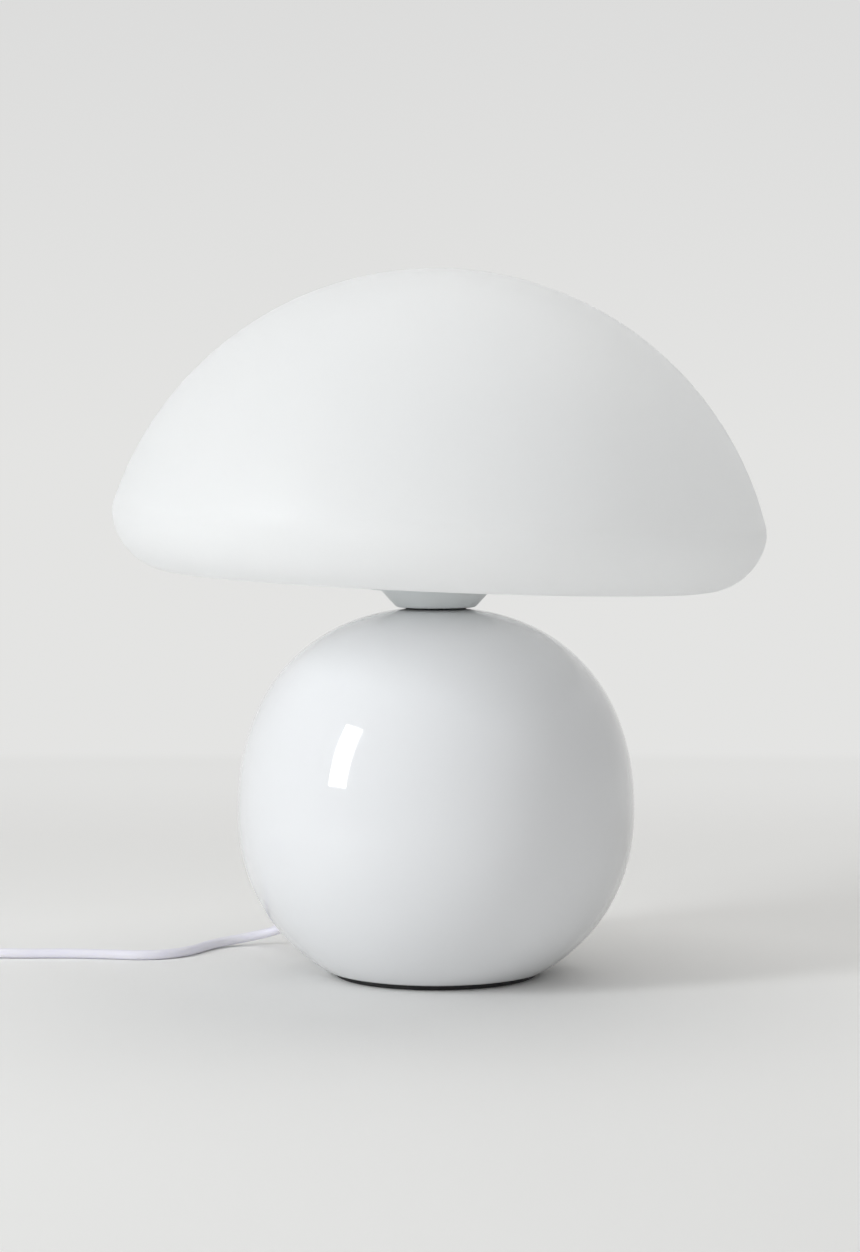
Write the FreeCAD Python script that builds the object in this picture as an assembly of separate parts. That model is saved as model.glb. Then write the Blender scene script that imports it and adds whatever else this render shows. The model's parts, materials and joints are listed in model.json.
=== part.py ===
import FreeCAD, Part
import math
import os

# Mushroom table lamp: a blown opal shade resting on a flared cup, over a hollow lacquered ball.
# Millimetres. Origin at the centre of the foot on the table, +Z up, -Y towards the viewer.

Vector = FreeCAD.Vector
UP = Vector(0, 0, 1)

# ---- foot and ball -------------------------------------------------------------------------
pad_radius = 50.4
pad_inset = 3.868
pad_web = 1.2
pad_wall = 1.3
plate_thickness = 1.4
ball_radius = 98.7
ball_centre_z = 81.2
ball_top_height = 101.8
ball_top_power = 2.25
ball_bottom_power = 2.1
ball_wall = 1.6
ball_land_radius = 15.5
ball_rim_rounding = 9.0
ball_mouth_inset = 7.4
weight_height = 21.0
weight_chamfer = 3.0
plate_screw_count = 4
plate_screw_inset = 4.4
plate_screw_radius = 1.4
plate_screw_length = 7.0
weight_screw_radius = 2.5
weight_screw_length = 15.0

# ---- threaded nipple, nuts and washers -----------------------------------------------------
nipple_radius = 5.0
nipple_bore_radius = 3.9
nipple_below = 12.5
nipple_above = 10.5
nut_flats = 14.0
inner_nut_height = 4.0
cup_nut_height = 3.0
top_washer_radius = 15.0
top_washer_thickness = 2.0
neck_washer_radius = 15.0
neck_washer_thickness = 0.8
lock_washer_radius = 9.0
lock_washer_thickness = 0.8
lock_washer_teeth = 10

# ---- neck cup, gasket and shade ------------------------------------------------------------
cup_wall = 1.4
cup_foot_radius = 19.6
cup_slope = 47.3
cup_corner = 3.0
cup_depth = 8.9
cup_flange_radius = 33.0
gasket_thickness = 1.0
shade_height = 350.0
shade_crown_reach = 160.8
shade_crown_edge_z = 229.4
shade_corner_radius = 31.0
shade_corner_inset = 130.5
shade_bottom_z = 196.4
shade_crease_rounding = 15.0
shade_dish = 2.0
shade_wall = 3.2
shade_mouth_radius = 27.0
shade_collar_wall = 5.2
shade_collar_rounding = 1.6
shade_lean = 2.35
shade_lean_z = 183.2

# ---- lampholder and bulb -------------------------------------------------------------------
holder_radius = 14.0
holder_wall = 1.5
holder_cap_height = 15.0
holder_boss_radius = 8.0
holder_sleeve_height = 35.0
core_floor = 9.0
core_height = 33.0
screw_shell_wall = 0.4
bulb_cap_radius = 6.95
bulb_thread_clearance = 0.07
bulb_cap_height = 17.5
bulb_tip_radius = 2.4
bulb_body_radius = 17.0
bulb_globe_radius = 22.5
bulb_globe_wall = 1.2
contact_rise = 1.6
contact_thickness = 0.4
led_count = 8

# ---- clearances ----------------------------------------------------------------------------
slip = 0.05
rest_gap = 0.25
cord_gap = 0.2

# ---- cord ----------------------------------------------------------------------------------
cord_radius = 2.5
exit_azimuth = 134.0
exit_height = 30.0
bush_length = 21.0
bush_flange_radius = 7.5
bush_neck_radius = 5.1
bush_tip_radius = 3.5
grip_screw_radius = 1.0
coil_x = -366.0
coil_outer_turn = 38.5
coil_inner_turn = 20.5
coil_layers = 2

# ---- inline switch -------------------------------------------------------------------------
switch_x = -296.0
switch_y = 44.0
switch_length = 56.0
switch_width = 25.0
switch_spout = 11.0
switch_split_z = 7.5
switch_height = 15.0
switch_wall = 1.8
rocker_pivot_z = 10.0
rocker_radius = 9.6
rocker_width = 9.4
rocker_pin_radius = 1.4
rocker_throw = 9.0
switch_screw_radius = 1.15

# ---- plug ----------------------------------------------------------------------------------
plug_x = -316.0
plug_z = 7.0
plug_length = 36.0
plug_width = 35.0
plug_thickness = 13.6
plug_rear_width = 13.0
plug_pin_length = 19.0
plug_pin_pitch = 18.6
plug_pin_radius = 2.0
plug_pin_lean = 1.66
relief_length = 20.0
relief_radius = 4.6

# ---- sizes that follow from the ones above ---------------------------------------------------
foot_height = pad_web + plate_thickness
plate_radius = pad_radius - pad_wall - slip
plate_screw_circle = pad_radius - plate_screw_inset
ball_mouth_radius = pad_radius - ball_mouth_inset
ball_foot_radius = pad_radius + pad_inset
ball_foot_share = 1 - (ball_foot_radius / ball_radius) ** ball_bottom_power
ball_bottom_depth = (ball_centre_z - foot_height) / ball_foot_share ** (1 / ball_bottom_power)
weight_radius = ball_mouth_radius - 1.0


def ball_height_at(radius):
    """Height of the ball's upper surface at a distance from the axis."""
    share = 1 - (radius / ball_radius) ** ball_top_power
    return ball_centre_z + ball_top_height * share ** (1 / ball_top_power)


land_z = ball_height_at(ball_land_radius)
shade_crown_rise = shade_height - shade_crown_edge_z
shade_dome_radius = (shade_crown_reach ** 2 + shade_crown_rise ** 2) / (2 * shade_crown_rise)
cup_bottom_z = land_z + neck_washer_thickness
cup_floor_z = cup_bottom_z + cup_wall
cup_rim_z = cup_bottom_z + cup_depth + cup_wall
collar_bottom_z = cup_rim_z + gasket_thickness + rest_gap
holder_z = cup_floor_z + lock_washer_thickness + cup_nut_height
core_z = holder_z + holder_cap_height
cavity_z = core_z + core_floor
contact_top_z = cavity_z + contact_thickness + contact_rise
tip_z = contact_top_z + 0.3
cap_z = tip_z + 2.7
globe_mouth_z = cap_z + bulb_cap_height + 21.5
sheath_end_z = holder_z + 8.0
coil_y = switch_y - coil_outer_turn
plug_y = coil_y - coil_outer_turn
coil_entry_x = coil_x + 10
floor_z = cord_radius
bush_groove = ball_wall + 0.45
bush_back = bush_groove + 4.5
grip_start = -bush_back - 0.3
grip_screw_x = 7.8


# ---- helpers -------------------------------------------------------------------------------
def in_profile(u, v):
    return Vector(u, 0, v)


def in_plan(u, v):
    return Vector(u, v, 0)


def rounded_edges(corners, place):
    """Closed outline through (u, v) corners. A third number rounds that corner with a tangent arc."""
    stops = []
    count = len(corners)
    for i, corner in enumerate(corners):
        here = Vector(corner[0], corner[1], 0)
        radius = corner[2] if len(corner) > 2 else 0
        if radius == 0:
            stops.append((here, here, here))
            continue
        before = Vector(*corners[i - 1][:2], 0) - here
        after = Vector(*corners[(i + 1) % count][:2], 0) - here
        half = before.getAngle(after) / 2
        before.normalize()
        after.normalize()
        inward = before + after
        inward.normalize()
        start = here + before * (radius / math.tan(half))
        end = here + after * (radius / math.tan(half))
        middle = here + inward * (radius / math.sin(half) - radius)
        stops.append((start, middle, end))
    edges = []
    for i, (start, middle, end) in enumerate(stops):
        last = stops[i - 1][2]
        if (start - last).Length > 1e-6:
            edges.append(Part.LineSegment(place(last.x, last.y), place(start.x, start.y)).toShape())
        if (end - start).Length > 1e-6:
            arc = Part.Arc(place(start.x, start.y), place(middle.x, middle.y), place(end.x, end.y))
            edges.append(arc.toShape())
    return edges


def face_of(edges):
    return Part.Face(Part.Wire(Part.__sortEdges__(edges)))


def turned(corners):
    """A part turned about the lamp's axis, from (radius, height) corners."""
    return face_of(rounded_edges(corners, in_profile)).revolve(Vector(), UP, 360)


def turned_edges(edges):
    return face_of(edges).revolve(Vector(), UP, 360)


def prism(corners, low, high):
    """A straight part with an outline in plan, between two heights."""
    face = face_of(rounded_edges(corners, in_plan))
    face.translate(Vector(0, 0, low))
    return face.extrude(Vector(0, 0, high - low))


def rod(radius, low, high, x=0.0, y=0.0):
    return Part.makeCylinder(radius, high - low, Vector(x, y, low))


def rod_along(radius, start, end):
    way = end - start
    return Part.makeCylinder(radius, way.Length, start, way)


def block(x_low, x_high, y_low, y_high, z_low, z_high):
    return Part.makeBox(x_high - x_low, y_high - y_low, z_high - z_low, Vector(x_low, y_low, z_low))


def ring_of(shape, count):
    """Copies of a shape, evenly spaced about the lamp's axis."""
    copies = []
    for i in range(count):
        copy = shape.copy()
        copy.rotate(Vector(), UP, 360 * i / count)
        copies.append(copy)
    return copies


def softened(shape, radius, low, high):
    """Rounds the edges that lie wholly between two heights."""
    chosen = [e for e in shape.Edges if e.BoundBox.ZMin > low and e.BoundBox.ZMax < high]
    return shape.makeFillet(radius, chosen)


def stood_on(shape, point, direction):
    """Moves a part that was made on +Z at the origin to a point, with +Z turned to a direction."""
    moved = shape.copy()
    moved.Placement = FreeCAD.Placement(point, FreeCAD.Rotation(UP, direction))
    return moved


def power_arc(radius, height, power, side, first, last):
    """Quarter outline of the ball between two radii: |r/R|^n + |z/H|^n = 1, above or below the middle."""
    def point(angle):
        reach = (abs(math.cos(angle)) / radius) ** power + (abs(math.sin(angle)) / height) ** power
        reach = reach ** (-1 / power)
        return in_profile(reach * math.cos(angle), ball_centre_z + side * reach * math.sin(angle))

    def angle_at(r):
        return math.atan2(height * (1 - (r / radius) ** power) ** (1 / power), r)

    low = angle_at(first)
    high = angle_at(last)
    steps = 12
    points = [point(low + (high - low) * i / steps) for i in range(steps + 1)]
    curve = Part.BSplineCurve()
    if first >= radius:
        last = points[-1] - points[-2]
        curve.interpolate(Points=points, InitialTangent=Vector(0, 0, side), FinalTangent=last)
    else:
        curve.interpolate(Points=points)
    return curve.toShape()


def line(a, b):
    return Part.LineSegment(a, b).toShape()


# ---- foot and ball -------------------------------------------------------------------------
def foot_pad():
    return turned([
        (0, 0),
        (pad_radius, 0, 0.8),
        (pad_radius, foot_height, 0.4),
        (pad_radius - pad_wall, foot_height),
        (pad_radius - pad_wall, pad_web),
        (0, pad_web),
    ])


def countersunk(radius, length, x=0.0, y=0.0):
    """A countersunk screw standing head down on the foot pad, with a cross recess under its head."""
    head = 2 * radius
    drop = head - radius
    screw = turned([
        (0, pad_web),
        (head, pad_web),
        (head, pad_web + 0.3),
        (radius, pad_web + 0.3 + drop),
        (radius, pad_web + length - radius),
        (0.25 * radius, pad_web + length),
        (0, pad_web + length),
    ])
    arm = 0.62 * head
    slot = 0.3 * radius
    screw = screw.cut(block(-arm, arm, -slot / 2, slot / 2, pad_web, pad_web + radius))
    screw = screw.cut(block(-slot / 2, slot / 2, -arm, arm, pad_web, pad_web + radius))
    screw.translate(Vector(x, y, 0))
    return screw


def countersink(radius, x=0.0, y=0.0):
    """The hole that such a screw's head and shank sit in, cut through the bottom plate."""
    head = 2 * radius + slip
    drop = head - slip - radius
    hole = turned([
        (0, pad_web - 1),
        (head, pad_web - 1),
        (head, pad_web + 0.3),
        (radius + slip, pad_web + 0.3 + drop),
        (radius + slip, foot_height + ball_wall + 1),
        (0, foot_height + ball_wall + 1),
    ])
    hole.translate(Vector(x, y, 0))
    return hole


def bottom_plate():
    plate = rod(plate_radius, pad_web, foot_height)
    plate = plate.cut(countersink(weight_screw_radius))
    for hole in ring_of(countersink(plate_screw_radius, plate_screw_circle), plate_screw_count):
        plate = plate.cut(hole)
    return plate


def plate_screws():
    screw = countersunk(plate_screw_radius, plate_screw_length, plate_screw_circle)
    return Part.makeCompound(ring_of(screw, plate_screw_count))


def weight_screw():
    return countersunk(weight_screw_radius, weight_screw_length)


def counterweight():
    top = foot_height + weight_height
    weight = turned([
        (0, foot_height),
        (weight_radius, foot_height),
        (weight_radius, top, weight_chamfer),
        (weight_radius - 14, top),
        (weight_radius - 18, top - 4, 2),
        (0, top - 4),
    ])
    return weight.cut(countersink(weight_screw_radius)).cut(
        rod(weight_screw_radius + slip, foot_height - 1, pad_web + weight_screw_length + 1)
    )


def ball_form(inset, mouth):
    """Solid of the ball's outer form, or of its hollow when inset by the wall."""
    low = foot_height + inset
    radius = ball_radius - inset
    depth = ball_bottom_depth - inset
    height = ball_top_height - inset
    share = 1 - ((ball_centre_z - low) / depth) ** ball_bottom_power
    foot_radius = radius * share ** (1 / ball_bottom_power)
    top_z = land_z - inset
    share = 1 - ((top_z - ball_centre_z) / height) ** ball_top_power
    land = radius * share ** (1 / ball_top_power)
    upper = power_arc(radius, height, ball_top_power, 1, radius, land)
    lower = power_arc(radius, depth, ball_bottom_power, -1, radius, foot_radius)
    edges = [
        upper,
        lower,
        line(in_profile(land, top_z), in_profile(mouth, top_z)),
        line(in_profile(mouth, top_z), in_profile(mouth, low)),
        line(in_profile(mouth, low), in_profile(foot_radius, low)),
    ]
    return turned_edges(edges)


def exit_frame():
    """Point and outward direction of the cord's exit on the ball's surface."""
    drop = (ball_centre_z - exit_height) / ball_bottom_depth
    radius = ball_radius * (1 - drop ** ball_bottom_power) ** (1 / ball_bottom_power)
    out = (radius / ball_radius) ** (ball_bottom_power - 1) / ball_radius
    down = drop ** (ball_bottom_power - 1) / ball_bottom_depth
    turn = math.radians(exit_azimuth)
    point = Vector(radius * math.cos(turn), radius * math.sin(turn), exit_height)
    way = Vector(out * math.cos(turn), out * math.sin(turn), -down)
    way.normalize()
    return point, way


exit_point, exit_way = exit_frame()
bush_tip = exit_point + exit_way * bush_length


def base_shell():
    outer = ball_form(0, 0)
    outer = softened(outer, ball_rim_rounding, foot_height - 0.01, foot_height + 0.01)
    shell = outer.cut(ball_form(ball_wall, 0))
    shell = shell.cut(rod(ball_mouth_radius, foot_height - 1, foot_height + ball_wall + 1))
    shell = shell.cut(rod(nipple_radius + 0.2, land_z - 5, land_z + 1))
    for hole in ring_of(countersink(plate_screw_radius, plate_screw_circle), plate_screw_count):
        shell = shell.cut(hole)
    hole = rod(bush_neck_radius + 0.1, -8, 8)
    return shell.cut(stood_on(hole, exit_point, exit_way))


def cord_bush():
    bush = turned([
        (cord_radius + cord_gap, -bush_back),
        (bush_neck_radius - 0.6, -bush_back),
        (bush_neck_radius + 0.8, -bush_groove - 0.8),
        (bush_neck_radius + 0.8, -bush_groove),
        (bush_neck_radius, -bush_groove),
        (bush_neck_radius, 0.05),
        (bush_flange_radius, 0.05, 0.4),
        (bush_flange_radius, 1.8, 0.8),
        (bush_neck_radius, 1.8, 1.0),
        (bush_tip_radius, bush_length, 0.5),
        (cord_radius + cord_gap, bush_length),
    ])
    return stood_on(bush, exit_point, exit_way)


def cord_grip():
    """Clamp collar on the cord behind the bush, so that a pull on the cord stops at the shell."""
    start = grip_start
    collar = turned([
        (cord_radius + 0.1, start - 7),
        (6.2, start - 7, 0.8),
        (6.2, start, 0.8),
        (cord_radius + 0.1, start),
    ])
    ear = block(0, grip_screw_x + 1.7, -3.0, 3.0, start - 6, start - 1)
    ear = ear.cut(rod(cord_radius + 0.1, start - 8, start + 1))
    split = block(cord_radius, 12, -0.4, 0.4, start - 8, start + 1)
    body = collar.fuse(ear).cut(split)
    near = Vector(grip_screw_x, -5, start - 3.5)
    far = Vector(grip_screw_x, 5, start - 3.5)
    body = body.cut(rod_along(grip_screw_radius + slip, near, far))
    return stood_on(body.removeSplitter(), exit_point, exit_way)


def grip_screw():
    centre = Vector(grip_screw_x, 0, grip_start - 3.5)
    seat = centre + Vector(0, -3.0, 0)
    shank = rod_along(grip_screw_radius, seat, centre + Vector(0, 4.0, 0))
    head = rod_along(1.9, seat + Vector(0, -1.4, 0), seat)
    slot = block(5, 11, -4.5, -3.9, grip_start - 3.8, grip_start - 3.2)
    return stood_on(shank.fuse(head).cut(slot), exit_point, exit_way)


# ---- nipple, nuts and washers ----------------------------------------------------------------
def top_washer():
    top = land_z - ball_wall
    return turned([
        (nipple_radius + slip, top - top_washer_thickness),
        (top_washer_radius, top - top_washer_thickness, 0.5),
        (top_washer_radius, top),
        (nipple_radius + slip, top),
    ])


def hex_nut(low, height):
    """Hexagon nut with both ends chamfered, on the nipple."""
    reach = nut_flats / math.sqrt(3)
    turns = [math.radians(60 * i) for i in range(6)]
    corners = [(reach * math.cos(turn), reach * math.sin(turn)) for turn in turns]
    bevel = reach - nut_flats / 2
    envelope = turned([
        (0, low),
        (nut_flats / 2, low),
        (reach, low + bevel * 0.6),
        (reach, low + height - bevel * 0.6),
        (nut_flats / 2, low + height),
        (0, low + height),
    ])
    nut = prism(corners, low, low + height).common(envelope)
    return nut.cut(rod(nipple_radius + slip, low - 1, low + height + 1))


def inner_nut():
    top = land_z - ball_wall - top_washer_thickness
    return hex_nut(top - inner_nut_height, inner_nut_height)


def cup_nut():
    return hex_nut(cup_floor_z + lock_washer_thickness, cup_nut_height)


def nipple():
    top = holder_z + 7.0
    bottom = land_z - nipple_below
    return turned([
        (nipple_bore_radius, bottom),
        (nipple_radius - 0.4, bottom),
        (nipple_radius, bottom + 0.4),
        (nipple_radius, top - 0.4),
        (nipple_radius - 0.4, top),
        (nipple_bore_radius, top),
    ])


def neck_washer():
    return turned([
        (nipple_radius + slip, land_z),
        (neck_washer_radius, land_z),
        (neck_washer_radius, cup_bottom_z),
        (nipple_radius + slip, cup_bottom_z),
    ])


def lock_washer():
    """Toothed lock washer between the cup's floor and its nut."""
    low = cup_floor_z
    washer = turned([
        (nipple_radius + slip, low),
        (lock_washer_radius, low),
        (lock_washer_radius, low + lock_washer_thickness),
        (nipple_radius + slip, low + lock_washer_thickness),
    ])
    gap = block(lock_washer_radius - 1.8, lock_washer_radius + 1, -0.9, 0.9, low - 1, low + 2)
    for notch in ring_of(gap, lock_washer_teeth):
        washer = washer.cut(notch)
    return washer


# ---- neck cup, gasket and shade ----------------------------------------------------------------
def neck_cup():
    rise = math.tan(math.radians(cup_slope))
    flare_radius = cup_foot_radius + cup_depth / rise
    shift = cup_wall * math.tan(math.radians(cup_slope / 2))
    return turned([
        (nipple_radius + slip, cup_bottom_z),
        (cup_foot_radius, cup_bottom_z, cup_corner),
        (flare_radius, cup_bottom_z + cup_depth, 1.0),
        (cup_flange_radius, cup_bottom_z + cup_depth, 0.5),
        (cup_flange_radius, cup_rim_z, 0.5),
        (flare_radius - shift, cup_rim_z, 1.0 + cup_wall),
        (cup_foot_radius - shift, cup_floor_z, cup_corner - cup_wall),
        (nipple_radius + slip, cup_floor_z),
    ])


def shade_gasket():
    inner = shade_mouth_radius + 0.6
    outer = shade_mouth_radius + shade_collar_wall
    return turned([
        (inner, cup_rim_z),
        (outer, cup_rim_z, 0.3),
        (outer, cup_rim_z + gasket_thickness, 0.3),
        (inner, cup_rim_z + gasket_thickness, 0.3),
    ])


def circles_meet(a, radius_a, b, radius_b):
    """The point, outermost from the axis, where two circles of the profile cross."""
    way = b - a
    gap = way.Length
    along = (radius_a ** 2 - radius_b ** 2 + gap ** 2) / (2 * gap)
    across = math.sqrt(radius_a ** 2 - along ** 2)
    way.normalize()
    return a + way * along + Vector(way.z, 0, -way.x) * across


def shade_profile(inset):
    """Edges of the blown form from its crown to the edge of its mouth, set inwards by the wall.

    A spherical crown meets a round shoulder at a soft crease, and the underside is a shallow dish."""
    crown = in_profile(0, shade_height - shade_dome_radius)
    shoulder = in_profile(shade_corner_inset, shade_bottom_z + shade_corner_radius)
    blend = circles_meet(
        crown,
        shade_dome_radius - shade_crease_rounding,
        shoulder,
        shade_corner_radius - shade_crease_rounding,
    )
    out_crown = blend - crown
    out_crown.normalize()
    out_shoulder = blend - shoulder
    out_shoulder.normalize()
    dish_run = shade_corner_inset - shade_mouth_radius + 1
    dish_radius = (dish_run ** 2 + shade_dish ** 2) / (2 * shade_dish)
    dish = in_profile(shade_corner_inset, shade_bottom_z + dish_radius)

    def on(centre, radius, way):
        way.normalize()
        return centre + way * radius

    dome_r = shade_dome_radius - inset
    blend_r = shade_crease_rounding - inset
    corner_r = shade_corner_radius - inset
    dish_r = dish_radius - inset
    top = on(crown, dome_r, Vector(0, 0, 1))
    first = on(crown, dome_r, Vector(out_crown))
    second = on(shoulder, corner_r, Vector(out_shoulder))
    bottom = on(shoulder, corner_r, Vector(0, 0, -1))
    span = math.asin(dish_run / dish_radius)
    mouth = on(dish, dish_r, Vector(-math.sin(span), 0, -math.cos(span)))
    middle = on(dish, dish_r, Vector(-math.sin(span / 2), 0, -math.cos(span / 2)))
    high = on(crown, dome_r, Vector(out_crown + Vector(0, 0, 1)))
    edge = on(blend, blend_r, Vector(out_crown + out_shoulder))
    low = on(shoulder, corner_r, Vector(out_shoulder + Vector(0, 0, -1)))
    edges = [
        Part.Arc(top, high, first).toShape(),
        Part.Arc(first, edge, second).toShape(),
        Part.Arc(second, low, bottom).toShape(),
        Part.Arc(bottom, middle, mouth).toShape(),
    ]
    return edges, top, mouth


def glass_shade():
    """Blown form, leaning a little from the ground face of its level collar, with the mouth bored through."""
    outer, outer_top, outer_mouth = shade_profile(0)
    inner, inner_top, inner_mouth = shade_profile(shade_wall)
    form = turned_edges(outer + inner + [line(outer_top, inner_top), line(outer_mouth, inner_mouth)])
    form.rotate(Vector(0, 0, shade_lean_z), Vector(0, 1, 0), shade_lean)
    collar_top = shade_bottom_z + shade_dish + shade_wall / 2
    collar = turned([
        (shade_mouth_radius, collar_bottom_z, shade_collar_rounding),
        (shade_mouth_radius + shade_collar_wall, collar_bottom_z, shade_collar_rounding),
        (shade_mouth_radius + shade_collar_wall, collar_top),
        (shade_mouth_radius, collar_top),
    ])
    shade = form.fuse(collar)
    return shade.cut(rod(shade_mouth_radius, collar_bottom_z + shade_collar_rounding + 0.2, collar_top + 20))


# ---- lampholder ------------------------------------------------------------------------------
def holder_cap():
    inner = holder_radius - holder_wall
    return turned([
        (nipple_radius + slip, holder_z),
        (holder_boss_radius, holder_z, 0.6),
        (holder_boss_radius, holder_z + 6.5, 1.5),
        (holder_radius, holder_z + 11, 2.0),
        (holder_radius, core_z),
        (inner - 1.2, core_z),
        (inner - 1.2, core_z - 2.8),
        (nipple_radius + 2, holder_z + 8.5),
        (nipple_radius + slip, holder_z + 7.5),
    ])


def holder_sleeve():
    top = core_z + holder_sleeve_height
    return turned([
        (holder_radius - holder_wall, core_z),
        (holder_radius, core_z),
        (holder_radius, top - 3, 0.5),
        (holder_radius + 0.8, top - 3, 0.3),
        (holder_radius + 0.8, top, 0.6),
        (holder_radius - holder_wall, top),
    ])


def holder_core():
    outer = holder_radius - holder_wall - 0.15
    cavity = bulb_cap_radius + bulb_thread_clearance + screw_shell_wall + 0.1
    core = turned([
        (0, core_z),
        (outer, core_z, 0.6),
        (outer, core_z + core_height, 1.0),
        (cavity, core_z + core_height, 0.6),
        (cavity, cavity_z),
        (0, cavity_z),
    ])
    for side in (-1, 1):
        centre = side * 7.0
        core = core.cut(block(centre - 2.8, centre + 2.8, -3, 3, core_z - 1, core_z + 6))
    return core


def screw_shell():
    inner = bulb_cap_radius + bulb_thread_clearance
    return turned([
        (inner, cavity_z + 1.0),
        (inner + screw_shell_wall, cavity_z + 1.0),
        (inner + screw_shell_wall, cavity_z + 22.5),
        (inner, cavity_z + 22.5),
    ])


def centre_contact():
    """Sprung tongue on the floor of the core, bent up to meet the bulb's tip."""
    low = cavity_z
    thick = contact_thickness
    face = face_of(rounded_edges([
        (-6.0, low),
        (-2.2, low, 0.5),
        (-1.0, low + contact_rise, 0.5 + thick),
        (2.6, low + contact_rise),
        (2.6, low + contact_rise + thick),
        (-1.3, low + contact_rise + thick, 0.5),
        (-2.5, low + thick, 0.5 + thick),
        (-6.0, low + thick),
    ], in_profile))
    face.translate(Vector(0, -2, 0))
    return face.extrude(Vector(0, 4, 0))


def terminals():
    blocks = []
    for side in (-1, 1):
        centre = side * 7.0
        body = block(centre - 2.7, centre + 2.7, -2.9, 2.9, core_z + 0.4, core_z + 6)
        body = body.cut(rod(0.95, core_z, core_z + 4.5, side * 5.7))
        body = body.cut(rod(1.05, core_z, core_z + 4.5, side * 8.3))
        blocks.append(body)
    return Part.makeCompound(blocks)


def terminal_screws():
    screws = []
    for side in (-1, 1):
        screw = rod(1.0, core_z - 0.2, core_z + 4.3, side * 8.3)
        head = rod(1.5, core_z - 1.2, core_z - 0.2, side * 8.3)
        slot = block(side * 8.3 - 2, side * 8.3 + 2, -0.25, 0.25, core_z - 2, core_z - 0.8)
        screws.append(screw.fuse(head).cut(slot))
    return Part.makeCompound(screws)


# ---- bulb ------------------------------------------------------------------------------------
def bulb_tip():
    return turned([
        (0, tip_z),
        (bulb_tip_radius, tip_z, 0.8),
        (bulb_tip_radius, tip_z + 1.0),
        (0, tip_z + 1.0),
    ])


def bulb_insulator():
    low = tip_z + 1.0 + slip
    return turned([
        (0, low),
        (bulb_tip_radius + 0.8, low),
        (bulb_cap_radius - 0.9, cap_z),
        (0, cap_z),
    ])


def bulb_cap():
    top = cap_z + bulb_cap_height
    return turned([
        (bulb_cap_radius - 1.6, cap_z),
        (bulb_cap_radius, cap_z + 1.6),
        (bulb_cap_radius, top),
        (bulb_cap_radius - 0.4, top),
        (bulb_cap_radius - 0.4, cap_z + 1.9),
        (bulb_cap_radius - 1.6, cap_z + 0.7),
    ])


def bulb_body():
    top = cap_z + bulb_cap_height
    inner = bulb_cap_radius - 0.4 - slip
    return turned([
        (0, cap_z + 3),
        (inner, cap_z + 3),
        (inner, top),
        (bulb_cap_radius, top),
        (bulb_cap_radius, top + 2.2),
        (9.0, top + 3.0),
        (bulb_body_radius, globe_mouth_z - 2, 2.5),
        (bulb_body_radius, globe_mouth_z),
        (0, globe_mouth_z),
    ])


def led_board():
    low = globe_mouth_z
    board = rod(14.5, low, low + 1.2)
    for chip in ring_of(block(9.0, 12.0, -1.4, 1.4, low + 1.2, low + 1.9), led_count):
        board = board.fuse(chip)
    return board


def bulb_globe():
    mouth = bulb_body_radius - 0.2
    outer_rise = math.sqrt(bulb_globe_radius ** 2 - mouth ** 2)
    centre_z = globe_mouth_z + outer_rise
    inside = bulb_globe_radius - bulb_globe_wall
    inner_mouth = math.sqrt(inside ** 2 - outer_rise ** 2)
    edges = [
        Part.Arc(
            in_profile(mouth, globe_mouth_z),
            in_profile(bulb_globe_radius, centre_z),
            in_profile(0, centre_z + bulb_globe_radius),
        ).toShape(),
        Part.Arc(
            in_profile(inner_mouth, globe_mouth_z),
            in_profile(inside, centre_z),
            in_profile(0, centre_z + inside),
        ).toShape(),
        line(in_profile(mouth, globe_mouth_z), in_profile(inner_mouth, globe_mouth_z)),
        line(in_profile(0, centre_z + bulb_globe_radius), in_profile(0, centre_z + inside)),
    ]
    return turned_edges(edges)


# ---- cord --------------------------------------------------------------------------------------
def cord_path(points):
    """Straight runs joined by tangent arcs, each as large as its two runs allow."""
    radii = []
    edges = []
    last = points[0]
    for before, here, after in zip(points, points[1:], points[2:]):
        back = before - here
        ahead = after - here
        shorter = min(back.Length, ahead.Length)
        half_turn = (math.pi - back.getAngle(ahead)) / 2
        reach = 0.45 * shorter
        back.normalize()
        ahead.normalize()
        radius = reach / math.tan(half_turn)
        radii.append(radius)
        inward = back + ahead
        inward.normalize()
        start = here + back * reach
        end = here + ahead * reach
        middle = here + inward * (radius / math.cos(half_turn) - radius)
        edges.append(line(last, start))
        edges.append(Part.Arc(start, middle, end).toShape())
        last = end
    edges.append(line(last, points[-1]))
    return Part.Wire(edges), radii


def cord_tube(name, points, radius=cord_radius):
    """Round cord along a route; prints its bend radii, and its volume against section times length."""
    path, radii = cord_path(points)
    way = points[1] - points[0]
    ring = Part.Wire(Part.makeCircle(radius, points[0], way))
    tube = path.makePipeShell([ring], True, False)
    expected = math.pi * radius ** 2 * path.Length
    shown = ", ".join(str(round(r)) for r in radii)
    print(f"{name}: length {path.Length:.0f}, radii {shown}, volume ratio {tube.Volume / expected:.4f}")
    return tube


def inner_cord():
    inward = exit_way * -1
    return cord_tube("inner_cord", [
        bush_tip,
        exit_point + inward * 26,
        Vector(-14.5, 15.5, 69),
        Vector(4, -2, 98),
        Vector(0, 0.6, 148),
        Vector(0, 0, sheath_end_z),
    ])


def lead_wires():
    """The two cores, from the end of the cord's sheath to the lampholder's terminals."""
    wires = []
    for side in (-1, 1):
        wires.append(cord_tube("lead_wire", [
            Vector(side * 1.1, 0, sheath_end_z + cord_gap),
            Vector(side * 1.3, 0, sheath_end_z + 2.4),
            Vector(side * 5.4, 0, core_z - 3.0),
            Vector(side * 5.7, 0, core_z + 4.0),
        ], 0.8))
    return Part.makeCompound(wires)


switch_east = switch_x + switch_length / 2
switch_west = switch_x - switch_length / 2


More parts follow.
